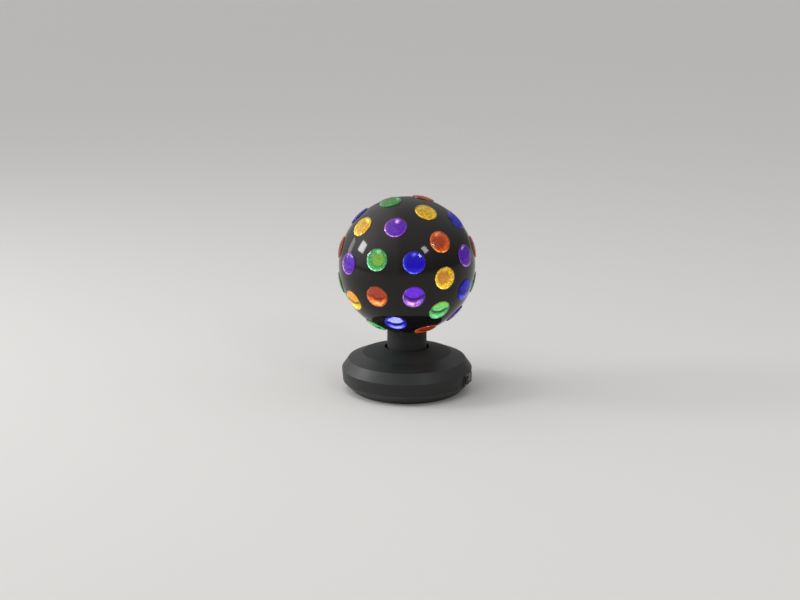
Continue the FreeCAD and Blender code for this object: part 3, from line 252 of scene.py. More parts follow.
def shade_as_turned(made: bpy.types.Object, merge_deg: float = 24.0,
                    askew: float = 0.06) -> None:
    """Shades a part turned about Z: a corner's normal is its face's, swung to the corner's azimuth.

    Corners of faces that meet at a small angle are then averaged, weighted by area, so that
    roundings look round while true edges stay crisp.

    Args:
        made: a joined copy.
        merge_deg: faces that turn less than this into each other are blended.
        askew: sideways share of a normal from which a face isn't part of a turned surface.
    """
    places, corner, normal, weight = corner_arrays(made.data)
    spot = places[corner]
    middle = np.repeat(spot.reshape(-1, 3, 3).mean(axis=1), 3, axis=0)
    swing = np.arctan2(spot[:, 1], spot[:, 0]) - np.arctan2(middle[:, 1], middle[:, 0])
    swung = np.stack([normal[:, 0] * np.cos(swing) - normal[:, 1] * np.sin(swing),
                      normal[:, 0] * np.sin(swing) + normal[:, 1] * np.cos(swing),
                      normal[:, 2]], axis=1)
    reach = np.maximum(np.linalg.norm(middle[:, :2], axis=1), TINY)
    sideways = np.abs(normal[:, 0] * middle[:, 1] - normal[:, 1] * middle[:, 0])
    swung = np.where((sideways < askew * reach)[:, None], swung, normal)
    order = np.argsort(corner, kind="stable")
    first = np.searchsorted(corner[order], np.arange(len(places)))
    count = np.diff(np.append(first, len(corner)))
    rank = np.arange(len(corner)) - first[corner[order]]
    limit, result = math.cos(math.radians(merge_deg)), swung.copy()
    for step in range(1, int(count.max())):
        near = np.zeros_like(corner)
        near[order] = order[first[corner[order]] + (rank + step) % count[corner[order]]]
        alike = ((swung * swung[near]).sum(axis=1) > limit) & (step < count[corner])
        share = np.where(alike, weight[near] / np.maximum(weight, TINY), 0)
        result += share[:, None] * swung[near]
    result /= np.linalg.norm(result, axis=1)[:, None]
    made.data.shade_smooth()
    made.data.normals_split_custom_set(result.tolist())


def shade_by_angle(made: bpy.types.Object, sharp_deg: float = 28.0) -> None:
    """Smooths a joined copy except across edges that turn more than the angle given."""
    made.data.shade_smooth()
    made.data.set_sharp_from_angle(angle=math.radians(sharp_deg))


# ---------------------------------------------------------------- finishes

@dataclass(frozen=True)
class Finish:
    """A surface with wandering colour and roughness, a grain, and a little handling.

    Attributes:
        name: what the material is called.
        colour: sRGB hex.
        tint: second sRGB hex that the colour wanders to.
        rough: low and high roughness.
        metal: 1 for a metal.
        ior: index of refraction; a metal keeps the default.
        grain_mm: size of the bump's grain.
        grain: strength of the bump.
        stretch: how much longer the grain is along X, Y and Z, for drawn or rolled stock.
        patch_mm: size of the patches of colour and roughness.
        marks: extra roughness in sparse small marks, such as handling leaves.
        mark_mm: size of those marks.
        sheen: sheen weight, for rubber and sleeves.
        mark_span: noise values between which a mark fades in; the higher they are, the fewer.
        grain_depth: height of the grain as a share of its size.
    """
    name: str
    colour: str
    tint: str
    rough: Tuple[float, float] = (0.4, 0.5)
    metal: float = 0.0
    ior: float = 1.5
    grain_mm: float = 0.5
    grain: float = 0.1
    stretch: Tuple[float, float, float] = (1.0, 1.0, 1.0)
    patch_mm: float = 12.0
    marks: float = 0.08
    mark_mm: float = 3.0
    sheen: float = 0.0
    mark_span: Tuple[float, float] = (0.62, 0.74)
    grain_depth: float = 0.2

    def build(self) -> bpy.types.Material:
        """Builds the node material and returns it."""
        material, tree, shader = new_material(self.name)
        place = add_node(tree, "TexCoord").outputs["Object"]
        drawn = add_node(tree, "Mapping", links={
            "Vector": place, "Scale": tuple(1 / part for part in self.stretch)}).outputs["Vector"]
        patches, marks, grain = (
            add_node(tree, "TexNoise", links={
                "Vector": vector, "Scale": 1 / (size * MM), "Detail": detail}).outputs["Fac"]
            for vector, size, detail in ((place, self.patch_mm, 4.0), (place, self.mark_mm, 5.0),
                                         (drawn, self.grain_mm, 3.0)))
        colour = add_node(tree, "Mix", {"data_type": "RGBA"}, {
            0: patches, 6: linear(self.colour), 7: linear(self.tint)}).outputs[2]
        even = add_node(tree, "MapRange", links={
            "Value": patches, "From Min": NOISE_SPAN[0], "From Max": NOISE_SPAN[1],
            "To Min": self.rough[0], "To Max": self.rough[1]}).outputs["Result"]
        handled = add_node(tree, "MapRange", links={
            "Value": marks, "From Min": self.mark_span[0], "From Max": self.mark_span[1],
            "To Min": 0.0, "To Max": self.marks}).outputs["Result"]
        rough = add_node(tree, "Math", {"operation": "ADD"}, {0: even, 1: handled}).outputs[0]
        bump = add_node(tree, "Bump", links={
            "Height": grain, "Strength": self.grain,
            "Distance": self.grain_depth * self.grain_mm * MM}).outputs["Normal"]
        fill_inputs(tree, shader, {
            "Base Color": colour, "Roughness": self.zoned(tree, place, rough), "Normal": bump,
            "Metallic": self.metal, "IOR": self.ior, "Sheen Weight": self.sheen})
        return material

    def zoned(self, tree: bpy.types.NodeTree, place: bpy.types.NodeSocket,
              rough: bpy.types.NodeSocket) -> bpy.types.NodeSocket:
        """Returns the roughness as it is; a finish that differs by zone changes it here."""
        return rough


@dataclass(frozen=True)
class CrownedFinish(Finish):
    """A finish that is more matt on the base's crown, up to a crisp edge round the lamp's axis.

    Attributes:
        crown_mm: radius of that edge.
        crown_edge_mm: half the width over which the finish changes at that edge.
        crown_above_mm: height over which a surface belongs to the crown.
        crown_rough: roughness that the crown adds.
    """
    crown_mm: float = 65.5
    crown_edge_mm: float = 0.2
    crown_above_mm: float = 56.0
    crown_rough: float = 0.2

    def zoned(self, tree: bpy.types.NodeTree, place: bpy.types.NodeSocket,
              rough: bpy.types.NodeSocket) -> bpy.types.NodeSocket:
        """Adds the crown's roughness where the distance from the axis is less than its edge's.

        Args:
            tree: the material's nodes.
            place: Object coordinates.
            rough: the roughness so far.

        Returns:
            The roughness with the crown's share.
        """
        level = add_node(tree, "VectorMath", {"operation": "MULTIPLY"}, {
            0: place, 1: (1, 1, 0)}).outputs[0]
        away = add_node(tree, "VectorMath", {"operation": "LENGTH"}, {0: level}).outputs["Value"]
        inside = add_node(tree, "MapRange", links={
            "Value": away, "From Min": (self.crown_mm - self.crown_edge_mm) * MM,
            "From Max": (self.crown_mm + self.crown_edge_mm) * MM,
            "To Min": self.crown_rough, "To Max": 0.0}).outputs["Result"]
        height = add_node(tree, "SeparateXYZ", links={0: place}).outputs["Z"]
        above = add_node(tree, "Math", {"operation": "GREATER_THAN"}, {
            0: height, 1: self.crown_above_mm * MM}).outputs[0]
        return add_node(tree, "Math", {"operation": "MULTIPLY_ADD"}, {
            0: inside, 1: above, 2: rough}).outputs[0]


@dataclass(frozen=True)
class SolderMask:
    """Green solder mask over copper tracks on a glass-fibre board.

    Attributes:
        name: what the material is called.
        colour: the mask over bare board.
        track: the mask over copper.
        pitch_mm: distance between tracks, drawn coarse enough to show.
        track_width: width of a track as a share of the pitch.
        run: length between crossings, in pitches.
        stagger: how far the crossings of the next row are shifted, as a share of the run.
        rough: roughness between tracks and on them.
        raised_mm: height of a track.
        raised: strength of its bump.
    """
    name: str = "green_solder_mask"
    colour: str = "174c2a"
    track: str = "2f7a42"
    pitch_mm: float = 1.6
    track_width: float = 0.09
    run: float = 3.1
    stagger: float = 0.35
    rough: Tuple[float, float] = (0.34, 0.24)
    raised_mm: float = 0.05
    raised: float = 0.3

    def build(self) -> bpy.types.Material:
        """Builds tracks as the joints of a brick pattern, and returns the material."""
        material, tree, shader = new_material(self.name)
        place = add_node(tree, "TexCoord").outputs["Object"]
        tracks = add_node(tree, "TexBrick", {"offset": self.stagger}, {
            "Vector": place, "Scale": 1 / (self.pitch_mm * MM), "Mortar Size": self.track_width,
            "Brick Width": self.run, "Row Height": 1.0, "Color1": linear(self.colour),
            "Color2": linear(self.colour), "Mortar": linear(self.track)}).outputs
        rough = add_node(tree, "MapRange", links={
            "Value": tracks["Fac"], "To Min": self.rough[0],
            "To Max": self.rough[1]}).outputs["Result"]
        bump = add_node(tree, "Bump", links={
            "Height": tracks["Fac"], "Strength": self.raised,
            "Distance": self.raised_mm * MM}).outputs["Normal"]
        fill_inputs(tree, shader, {
            "Base Color": tracks["Color"], "Roughness": rough, "Normal": bump})
        return material


class Stock(Enum):
    """Every plain finish of the lamp, by the record's material slot, and the tray's own."""
    # Polished mould, gloss ABS: deep warm black, almost a mirror, with the faintest waviness. Its
    # index is set under the plastic's usual 1.54, which keeps the pale room's image in it faint.
    ball_black = Finish(
        "gloss_abs", "181514", "1b1816", (0.06, 0.085), ior=1.36, grain_mm=11, grain=0.035,
        patch_mm=35, marks=0.05, mark_mm=6)
    # Spark-eroded mould, satin ABS: dark grey with soft highlights, an even grain, drawn coarser
    # than 0.1 mm to show, and a more matt crown.
    base_black = CrownedFinish(
        "satin_abs", "1a1c1b", "1f2120", (0.42, 0.47), ior=1.42, grain_mm=0.6, grain=0.12,
        patch_mm=24, marks=0.06, mark_mm=4)
    # The same ABS from a coarser mould, rougher than the housing over it; its greyer colour than
    # the housing's is painted light, for the light the tray catches from the pale floor it faces.
    tray_black = Finish(
        "coarse_abs_painted_light", "2a2c2b", "303231", (0.45, 0.52), ior=1.48, grain_mm=0.8, grain=0.2,
        patch_mm=24)
    # Moulded polycarbonate: blacker and glossier than the base, with a fine grain.
    switch_black = Finish(
        "switch_polycarbonate", "08080a", "0c0c0d", (0.16, 0.22), ior=1.58, grain_mm=0.4,
        grain=0.06, patch_mm=6, marks=0.06, mark_mm=1.5)
    # Glass-filled nylon: milky and matt, with the fibres' short flow marks.
    plate_nylon = Finish(
        "filled_nylon", "cfc9b8", "c0b8a2", (0.48, 0.6), ior=1.53, grain_mm=0.6, grain=0.15,
        stretch=(3.0, 1.0, 1.0))
    # Moulded acetal: waxy white.
    gear_nylon = Finish(
        "acetal", "e4dfd2", "d6cfbd", (0.32, 0.42), ior=1.48, grain_mm=0.7, grain=0.08)
    # Sintered bronze: porous and oily.
    bush_bronze = Finish(
        "sintered_bronze", "a87a42", "86602f", (0.32, 0.5), 1.0, grain_mm=0.3, grain=0.3,
        patch_mm=2.5)
    # Moulded rubber: dead matt with a pale bloom.
    foot_rubber = Finish(
        "moulded_rubber", "141414", "1e1d1c", (0.75, 0.85), ior=1.52, grain_mm=0.5, grain=0.25,
        patch_mm=5, sheen=0.2)
    # Die-cast aluminium alloy: pebbled, dull.
    cast_alloy = Finish(
        "cast_aluminium", "a9abad", "95979a", (0.38, 0.55), 1.0, grain_mm=0.8, grain=0.35,
        patch_mm=6)
    # Drawn steel: fine bright lines along its length.
    steel = Finish(
        "drawn_steel", "a8aaad", "989a9e", (0.2, 0.32), 1.0, grain_mm=0.25, grain=0.12,
        stretch=(1.0, 1.0, 14.0), patch_mm=5)
    # Blackened steel: oxide over metal, rubbed bright in small marks.
    screw_steel = Finish(
        "blackened_steel", "4d4c4c", "383737", (0.3, 0.42), 1.0, grain_mm=0.25, grain=0.15,
        patch_mm=2)
    # Extruded aluminium: satin, with die lines along its height.
    alloy = Finish(
        "extruded_aluminium", "c6c8ca", "b6b9bc", (0.28, 0.4), 1.0, grain_mm=0.4, grain=0.15,
        stretch=(1.0, 1.0, 20.0))
    # White solder mask over an aluminium board: smooth, a touch creamy.
    board_white = Finish(
        "white_solder_mask", "e8e6df", "dcd8cc", (0.3, 0.4), ior=1.53, grain_mm=0.4, grain=0.05)
    # Phosphor gel of the light chips: lemon, glassy with small bubbles.
    chip_yellow = Finish(
        "phosphor_gel", "eed060", "e0bd45", (0.22, 0.34), ior=1.45, grain_mm=0.4, grain=0.2,
        patch_mm=1.5)
    # Woven sleeve over wires: cloth-like, with a slight sheen.
    wire_black = Finish(
        "wire_sleeve", "161616", "222222", (0.55, 0.7), grain_mm=0.5, grain=0.6, patch_mm=1.2,
        sheen=0.1)
    # Green solder mask with its tracks.
    board_green = SolderMask()
    # Filled epoxy of electrical parts: dull, faintly speckled.
    part_black = Finish(
        "filled_epoxy", "1c1c1d", "29292a", (0.45, 0.55), ior=1.55, grain_mm=0.4, grain=0.2,
        patch_mm=0.8)
    # Plated brass contacts: warm, bright.
    brass = Finish(
        "plated_brass", "c8a860", "b5954c", (0.18, 0.32), 1.0, grain_mm=0.25, grain=0.08,
        patch_mm=3)


class FinishShelf:
    """Builds each plain finish once and hands it out by its slot's name."""

    def __init__(self) -> None:
        """Starts with an empty shelf."""
        self._built: Dict[str, bpy.types.Material] = {}

    def take(self, slot: str) -> bpy.types.Material:
        """Returns the finish of a material slot, built the first time it is asked for."""
        if slot not in self._built:
            self._built[slot] = Stock[slot].value.build()
        return self._built[slot]


@dataclass(frozen=True)
class LensColour:
    """The colours of one kind of lens, as the eye sees them through the acrylic when lit.

    Attributes:
        acrylic: the clear acrylic's own tint.
        rim: the lit edge.
        wall: the cup's wall, which the light reaches first.
        disc: the floor of the cup.
        pale: the painted light of the floor and the crescent in the lowest lenses, paler in most
            colours.
        most: most light in one channel.
    """
    acrylic: str
    rim: str
    wall: str
    disc: str
    pale: str
    most: float = 2.6

    def behind_acrylic(self, seen: str) -> Colour:
        """Works out the light that looks like a colour once the acrylic's surface has tinted it."""
        tint = np.sqrt(np.array(linear(self.acrylic)[:3]))
        red, green, blue = np.minimum(np.array(linear(seen)[:3]) / tint, self.most)
        return float(red), float(green), float(blue), 1.0


class Tint(Enum):
    """The five kinds of lens."""
    # Honey: a yellow rim and wall round an orange floor.
    amber = LensColour("f0b030", "ffe868", "fac424", "d69038", "e8a830")
    # Brick red: an orange rim round a dark floor.
    red = LensColour("d8502c", "ffa058", "d05018", "8c3420", "80280e")
    # Leaf green: a mint rim round a yellower floor.
    green = LensColour("78d070", "a4f4b4", "40a458", "7cb040", "58bc70")
    # Ink blue: deep all over, and icy with painted light in the lowest lenses.
    blue = LensColour("3028e8", "6464fa", "1808c0", "1a08b8", "a0c8ff")
    # Deep violet: a lilac rim round a bluer floor.
    violet = LensColour("7c30d8", "e0a0ff", "5e16ac", "6020c4", "9860ff")


@dataclass(frozen=True)
class LensAcrylic:
    """Injection-moulded tinted acrylic: clear, hard and glossy, with faint flow marks.

    Its index is set under acrylic's usual 1.49, so that less of the pale room veils its colour.

    Attributes:
        tint: the kind of lens.
        ior: index of refraction.
        rough: roughness.
        flow_mm: size of the flow marks.
        flow_deep_mm: their depth.
        flow: strength of their bump.
    """
    tint: Tint
    ior: float = 1.4
    rough: float = 0.03
    flow_mm: float = 4.0
    flow_deep_mm: float = 0.1
    flow: float = 0.3

    def build(self) -> bpy.types.Material:
        """Builds the clear tinted material and returns it."""
        material, tree, shader = new_material(f"acrylic_{self.tint.name}")
        place = add_node(tree, "TexCoord").outputs["Object"]
        flow = add_node(tree, "TexNoise", links={
            "Vector": place, "Scale": 1 / (self.flow_mm * MM), "Detail": 3.0}).outputs["Fac"]
        bump = add_node(tree, "Bump", links={
            "Height": flow, "Strength": self.flow,
            "Distance": self.flow_deep_mm * MM}).outputs["Normal"]
        fill_inputs(tree, shader, {
            "Base Color": linear(self.tint.value.acrylic), "Transmission Weight": 1.0,
            "IOR": self.ior, "Roughness": self.rough, "Normal": bump})
        return material


@dataclass(frozen=True)
class LitCup:
    """The pebbled cup behind a lens, glowing with painted light that stands in for the chips inside
    the ball; the cup is no lamp.

    The mesh carries four attributes: "glow" is how much painted light a spot gives, and "rim",
    "floor" and "pale" are how much of it has each of those colours, over the wall's.

    Attributes:
        tint: the kind of lens.
        unlit: sRGB hex of the cup without its light.
        rough: roughness.
        specular: specular level.
        pebble_mm: size of the pebbles, which bump the cup and carry painted glints that sparkle.
        pebble_span: noise values between which a pebble's painted glint turns bright.
        pebble_light: painted light of a dim and of a bright pebble.
        floor_share: how much of the painted sparkle shows on the floor.
        pebble_deep_mm: depth of the pebbles.
        pebble: strength of their bump.
        swell_mm: size of the painted bright and dim stretches of the rim's light.
        swell_span: noise values between which a stretch turns bright.
        swell_light: painted light of a dim and of a bright stretch.
    """
    tint: Tint
    unlit: str = "0c0c0c"
    rough: float = 0.5
    specular: float = 0.1
    pebble_mm: float = 2.4
    pebble_span: Tuple[float, float] = (0.38, 0.66)
    pebble_light: Tuple[float, float] = (0.65, 1.55)
    floor_share: float = 0.5
    pebble_deep_mm: float = 0.3
    pebble: float = 0.5
    swell_mm: float = 9.0
    swell_span: Tuple[float, float] = (0.4, 0.6)
    swell_light: Tuple[float, float] = (0.35, 1.5)

    def build(self) -> bpy.types.Material:
        """Builds the lit material and returns it."""
        material, tree, shader = new_material(f"lit_cup_{self.tint.name}")
        colours = self.tint.value
        glow, rim, floor, pale = (
            add_node(tree, "Attribute", {"attribute_name": name}).outputs["Fac"]
            for name in ("glow", "rim", "floor", "pale"))
        light = colours.behind_acrylic(colours.wall)
        for share, seen in ((floor, colours.disc), (pale, colours.pale), (rim, colours.rim)):
            light = add_node(tree, "Mix", {"data_type": "RGBA"}, {
                0: share, 6: light, 7: colours.behind_acrylic(seen)}).outputs[2]
        place = add_node(tree, "TexCoord").outputs["Object"]
        pebbles = add_node(tree, "TexNoise", links={
            "Vector": place, "Scale": 1 / (self.pebble_mm * MM), "Detail": 2.0,
            "Roughness": 0.6}).outputs["Fac"]
        swell = add_node(tree, "TexNoise", links={
            "Vector": place, "Scale": 1 / (self.swell_mm * MM), "Detail": 1.0}).outputs["Fac"]
        # Painted glints on the pebbles, and painted bright and dim stretches of the rim's light.
        sparkle, painted_rim_patches = (
            add_node(tree, "MapRange", {"interpolation_type": "SMOOTHSTEP"}, {
                "Value": noise, "From Min": span[0], "From Max": span[1],
                "To Min": lights[0], "To Max": lights[1]}).outputs["Result"]
            for noise, span, lights in ((pebbles, self.pebble_span, self.pebble_light),
                                        (swell, self.swell_span, self.swell_light)))
        share = add_node(tree, "MapRange", links={
            "Value": floor, "To Min": 1.0, "To Max": self.floor_share}).outputs["Result"]
        strength = glow
        for part, uneven in ((share, sparkle), (rim, painted_rim_patches)):
            broken = add_node(tree, "Mix", {"data_type": "FLOAT"}, {
                0: part, 2: 1.0, 3: uneven}).outputs[0]
            strength = add_node(tree, "Math", {"operation": "MULTIPLY"}, {
                0: strength, 1: broken}).outputs[0]
        bump = add_node(tree, "Bump", links={
            "Height": pebbles, "Strength": self.pebble,
            "Distance": self.pebble_deep_mm * MM}).outputs["Normal"]
        # The emission is painted light, standing in for the chips' light.
        fill_inputs(tree, shader, {
            "Base Color": linear(self.unlit), "Roughness": self.rough, "Normal": bump,
            "Specular IOR Level": self.specular, "Emission Color": light,
            "Emission Strength": strength})
        return material


# ---------------------------------------------------------------- frame

@dataclass
class LampFrame:
    """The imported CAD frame: its nodes, and the material slot and body of each.

    Attributes:
        nodes: the CAD objects by name.
        slots: each node's material slot.
        bodies: the body that each node rides on.
        join_mm: corners nearer than this are joined in a copy.
        sliver_mm: edges shorter than this are taken out of it.
    """
    nodes: Dict[str, bpy.types.Object]
    slots: Dict[str, str]
    bodies: Dict[str, str]
    join_mm: float = 0.001
    sliver_mm: float = 0.0001

    @classmethod
    def read(cls) -> "LampFrame":
        """Loads the frame and returns it."""
        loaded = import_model()
        record = loaded["record"]
        slots = {part["node"]: part["material_slot"] for part in record["subparts"]}
        bodies = {node: body for body, nodes in record["behaviour"]["bodies"].items()
                  for node in nodes}
        return cls(loaded["nodes"], slots, bodies)

    def joined_copy(self, node: str, shelf: FinishShelf, finish: str = "") -> bpy.types.Object:
        """Copies a CAD node with its loose triangles joined where their corners meet.

        Args:
            node: the CAD node's name.
            shelf: the finishes.
            finish: the finish, where it isn't that of the node's slot.

        Returns:
            The dressed copy, which replaces the node and rides with it.
        """
        mesh = self.nodes[node].data.copy()
        mesh.name = f"dressed_{node}"
        shape = bmesh.new()
        shape.from_mesh(mesh)
        bmesh.ops.remove_doubles(shape, verts=shape.verts, dist=self.join_mm * MM)
        bmesh.ops.dissolve_degenerate(shape, edges=shape.edges, dist=self.sliver_mm * MM)
        bmesh.ops.triangulate(shape, faces=shape.faces)
        shape.to_mesh(mesh)
        shape.free()
        made = place_in_scene(mesh.name, mesh)
        assign(made, shelf.take(finish or self.slots[node]))
        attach(made, self.bodies[node])
        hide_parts(node)
        LOG.info("%s dressed", node)
        return made


# ---------------------------------------------------------------- ball

@dataclass(frozen=True)
class CupLight:
    """How light and shade lie in a lit cup.

    Lengths are shares of the flange's radius, and strengths are shares of the cup's light, which is
    painted: the dark line is painted shade, and the crescent, the rim and the glint are painted
    light.

    Attributes:
        low_rate: how fast a lens below the ball's middle turns low.
        high_span: heights over which the disc fades into the wall.
        strong_span: depths over which a low lens turns to its pale colour.
        disc_lift: how far the disc's middle lies up the lens, and what a low lens adds.
        disc_size: its radius, and what a low lens adds.
        disc_end: where it ends, in shares of its radius.
        disc_light: light it adds in a low lens.
        disc_high: share of it that a high lens loses.
        pale_span: where the pale light ends round the disc.
        line: middle and width of the dark line, a painted shadow, in shares of the disc's radius.
        line_dark: share of the light it takes, and what a low lens adds.
        crescent: middle and width of the crescent, a painted band of light.
        crescent_light: light it adds.
        rim_span: where the rim begins and is full.
        rim_low: share of the rim, then of its light, that a low lens loses.
        rim_least: rim at the upper right, where it is weakest.
        corner_span: cosines to the lower left over which the rim brightens.
        corner_light: light that the rim loses, and what it gains at the lower left.
        base_light: light everywhere.
        bottom_light: light added towards the bottom, and more on the rim.
        wall_light: light added at the wall's bottom.
        lip_dark: share of the light that the lip loses.
        whole: strength of it all, and what a low lens adds.
        glint: the painted glint's middle, half length and half width, and how it narrows downwards.
        glint_least: its least half width.
        glint_light: light it adds.
    """
    low_rate: float = 4.2
    high_span: Tuple[float, float] = (0.3, 0.8)
    strong_span: Tuple[float, float] = (0.3, 0.65)
    disc_lift: Tuple[float, float] = (0.05, 0.6)
    disc_size: Tuple[float, float] = (0.56, 0.33)
    disc_end: Tuple[float, float] = (0.92, 1.04)
    disc_light: float = 0.4
    disc_high: float = 0.8
    pale_span: Tuple[float, float] = (0.62, 0.85)
    line: Tuple[float, float] = (1.08, 0.12)
    line_dark: Tuple[float, float] = (0.35, 0.57)
    crescent: Tuple[float, float] = (0.74, 0.12)
    crescent_light: float = 0.7
    rim_span: Tuple[float, float] = (0.87, 0.95)
    rim_low: Tuple[float, float] = (0.5, 0.25)
    rim_least: float = 0.2
    corner_span: Tuple[float, float] = (-0.3, 0.9)
    corner_light: Tuple[float, float] = (0.5, 0.85)
    base_light: float = 0.92
    bottom_light: Tuple[float, float] = (0.08, 0.12)
    wall_light: float = 0.15
    lip_dark: float = 0.55
    whole: Tuple[float, float] = (0.95, 0.1)
    glint: Tuple[float, float, float, float] = (-0.66, 0.15, 0.17, 0.3)
    glint_least: float = 0.02
    glint_light: float = 0.9

    def spread(self, u: Array, v: Array, height: float, on_lip: Array) -> Dict[str, Array]:
        """Spreads light over the cup: a disc, a dark line under it, then a crescent and the rim.

        The disc is the circle hypot(u + lift, v) < size, and the line, a painted shadow, follows
        its lower edge. The rim's painted light is brightest at the lower left, and a painted glint
        stands near the top. In a low lens the glint is gone, the disc is larger and lies higher,
        the line is darker, and a painted bright crescent lies between it and the rim. In the
        lowest, the disc turns pale but for a ring round it. In a high lens the disc fades into the
        wall.

        Args:
            u: how far each point lies down the lens.
            v: how far it lies across.
            height: the lens's height over the ball's middle, as a share of the ball's radius.
            on_lip: whether each point is on the raised lip.

        Returns:
            The glow, rim, floor and pale attributes, one number for each point.
        """
        low = float(np.clip(-self.low_rate * height, 0, 1))
        high = float(smooth(np.array(height), *self.high_span))
        strong = float(smooth(np.array(-height), *self.strong_span))
        lift, size, dark, whole = (always + added * low for always, added in (
            self.disc_lift, self.disc_size, self.line_dark, self.whole))
        away, reach = np.hypot(u, v), np.hypot(u + lift, v) / size
        below = np.clip((u + lift) / np.maximum(reach * size, TINY), 0, 1)
        bottom = np.clip(u / np.maximum(away, TINY), -1, 1)
        under = np.clip(bottom, 0, 1)
        corner = smooth((u - v) / np.maximum(away, TINY) / math.sqrt(2), *self.corner_span)

        disc = 1 - smooth(reach, *self.disc_end)
        # Painted shade: the dark line under the disc. Painted light: the crescent, the rim and the
        # glint.
        line = np.exp(-((reach - self.line[0]) / self.line[1]) ** 2) * below
        crescent = low * np.exp(-((away - self.crescent[0]) / self.crescent[1]) ** 2) * under ** 2
        edge = smooth(away, *self.rim_span)
        top, length, width, narrowing = self.glint
        width = np.maximum(width - narrowing * (u - top), self.glint_least)
        glint = (1 - low) * np.exp(-((u - top) / length) ** 2 - (v / width) ** 2)

        rim = (1 - self.rim_low[0] * low) * edge * (self.rim_least + (1 - self.rim_least) * corner)
        rim = np.maximum(np.maximum(rim, (1 - strong) * crescent), glint)
        glow = self.base_light + (self.bottom_light[0] + self.bottom_light[1] * edge) * bottom
        glow += self.crescent_light * crescent
        glow += low * (self.disc_light * disc - self.rim_low[1] * edge)
        glow += (1 - disc) * self.wall_light * (1 - low) * under
        glow *= 1 - dark * line * (1 - edge)
        glow *= 1 + edge * (self.corner_light[1] * corner - self.corner_light[0])
        glow *= (1 - self.lip_dark * on_lip) * (1 + self.glint_light * glint) * whole
        pale = strong * np.maximum(disc * (1 - smooth(away, *self.pale_span)), crescent)
        return {"glow": glow, "rim": rim, "floor": disc * (1 - self.disc_high * high), "pale": pale}


@dataclass
class LensForm:
    """One lens and the lit cup behind it, standing on +Z with heights from the ball's middle.

    Local +X points down the ball, so that light and shade in the cup lie the same way up
    in every lens.

    Attributes:
        ball_radius: outside of the ball.
        flange: radius of the flange.
        play: side clearance of the flange in its seat.
        sink: depth of the flat seat.
        edge: height of the flange's edge over the seat.
        dome: crown over the edge.
        rounding: rounding of the edge.
        plug: radius of the plug.
        depth: length of the plug.
        dish: hollow in the plug's back.
        dish_radius: radius of that hollow.
        skin: acrylic between the cup and the plug's back.
        cup_gap: acrylic between the cup's wall and the plug's side.
        cup_floor: radius of the cup's level floor, as a share of the cup's.
        lip_in: where the lip turns up, in from the flange's edge.
        lip_gap: acrylic outside the lip.
        lip_step: height of each step of the lip.
        lip_under: how far the lip's end lies under the flange's edge.
        crown_rows: points along the crown, and along the rounding.
        cup_rows: points along the cup's floor and wall.
        columns: points round the lens.
        cup_light: how light lies in the cup.
    """
    ball_radius: float = 100.0
    flange: float = 16.2
    play: float = 0.1
    sink: float = 0.5
    edge: float = 2.2
    dome: float = 2.6
    rounding: float = 1.1
    plug: float = 14.0
    depth: float = 7.2
    dish: float = 2.0
    dish_radius: float = 11.2
    skin: float = 0.3
    cup_gap: float = 0.6
    cup_floor: float = 0.72
    lip_in: float = 1.0
    lip_gap: float = 0.45
    lip_step: float = 0.5
    lip_under: float = 1.3
    crown_rows: Tuple[int, int] = (14, 8)
    cup_rows: int = 22
    columns: int = 72
    cup_light: CupLight = CupLight()

    @property
    def seat(self) -> float:
        """Height of the flat seat over the ball's middle."""
        return math.sqrt(self.ball_radius ** 2 - (self.flange + self.play) ** 2) - self.sink

    def outside(self) -> Array:
        """Profile from the crown's middle to the back's middle: crown, edge, rim, plug, dish."""
        crown = (self.flange ** 2 + self.dome ** 2) / (2 * self.dome)
        low = self.seat + self.edge + self.dome - crown
        inset = self.flange - self.rounding
        height = low + math.sqrt((crown - self.rounding) ** 2 - inset ** 2)
        lean = math.degrees(math.atan2(height - low, inset))
        back = self.seat - self.depth
        crown_arc = arc((0, low), crown, 90, lean, self.crown_rows[0])
        crown_arc[0, 0] = 0
        return np.concatenate([
            crown_arc, arc((inset, height), self.rounding, lean, 0, self.crown_rows[1])[1:],
            np.array([(self.flange, self.seat), (self.plug, self.seat), (self.plug, back),
                      (self.dish_radius, back), (0, back + self.dish)])])

    def cup(self) -> Array:
        """Profile of the lit cup from its floor's middle to its lip, inside the acrylic.

        The floor's middle is level, the wall rises from it along a smooth step, and the lip turns
        out and up inside the flange, then runs a little way back down on itself.
        """
        floor = self.seat - self.depth + self.dish + self.skin
        lip, reach = self.seat + self.skin, self.plug - self.cup_gap
        radius = np.linspace(0, reach, self.cup_rows)
        rise = floor + (lip - floor) * smooth(radius, self.cup_floor * reach, reach)
        outer = self.flange - self.lip_gap
        return np.concatenate([np.stack([radius, rise], axis=1), np.array([
            (self.flange - self.lip_in, lip), (outer, lip + self.lip_step),
            (outer, lip + 2 * self.lip_step), (outer, self.seat + self.edge - self.lip_under)])])

    def light(self, points: Array, height: float) -> Dict[str, Array]:
        """Spreads the light over the cup's points, for a lens at a height over the middle."""
        on_lip = points[:, 2] > self.seat + self.skin + self.lip_step / 2
        return self.cup_light.spread(points[:, 0] / self.flange, points[:, 1] / self.flange,
                                     height, on_lip)


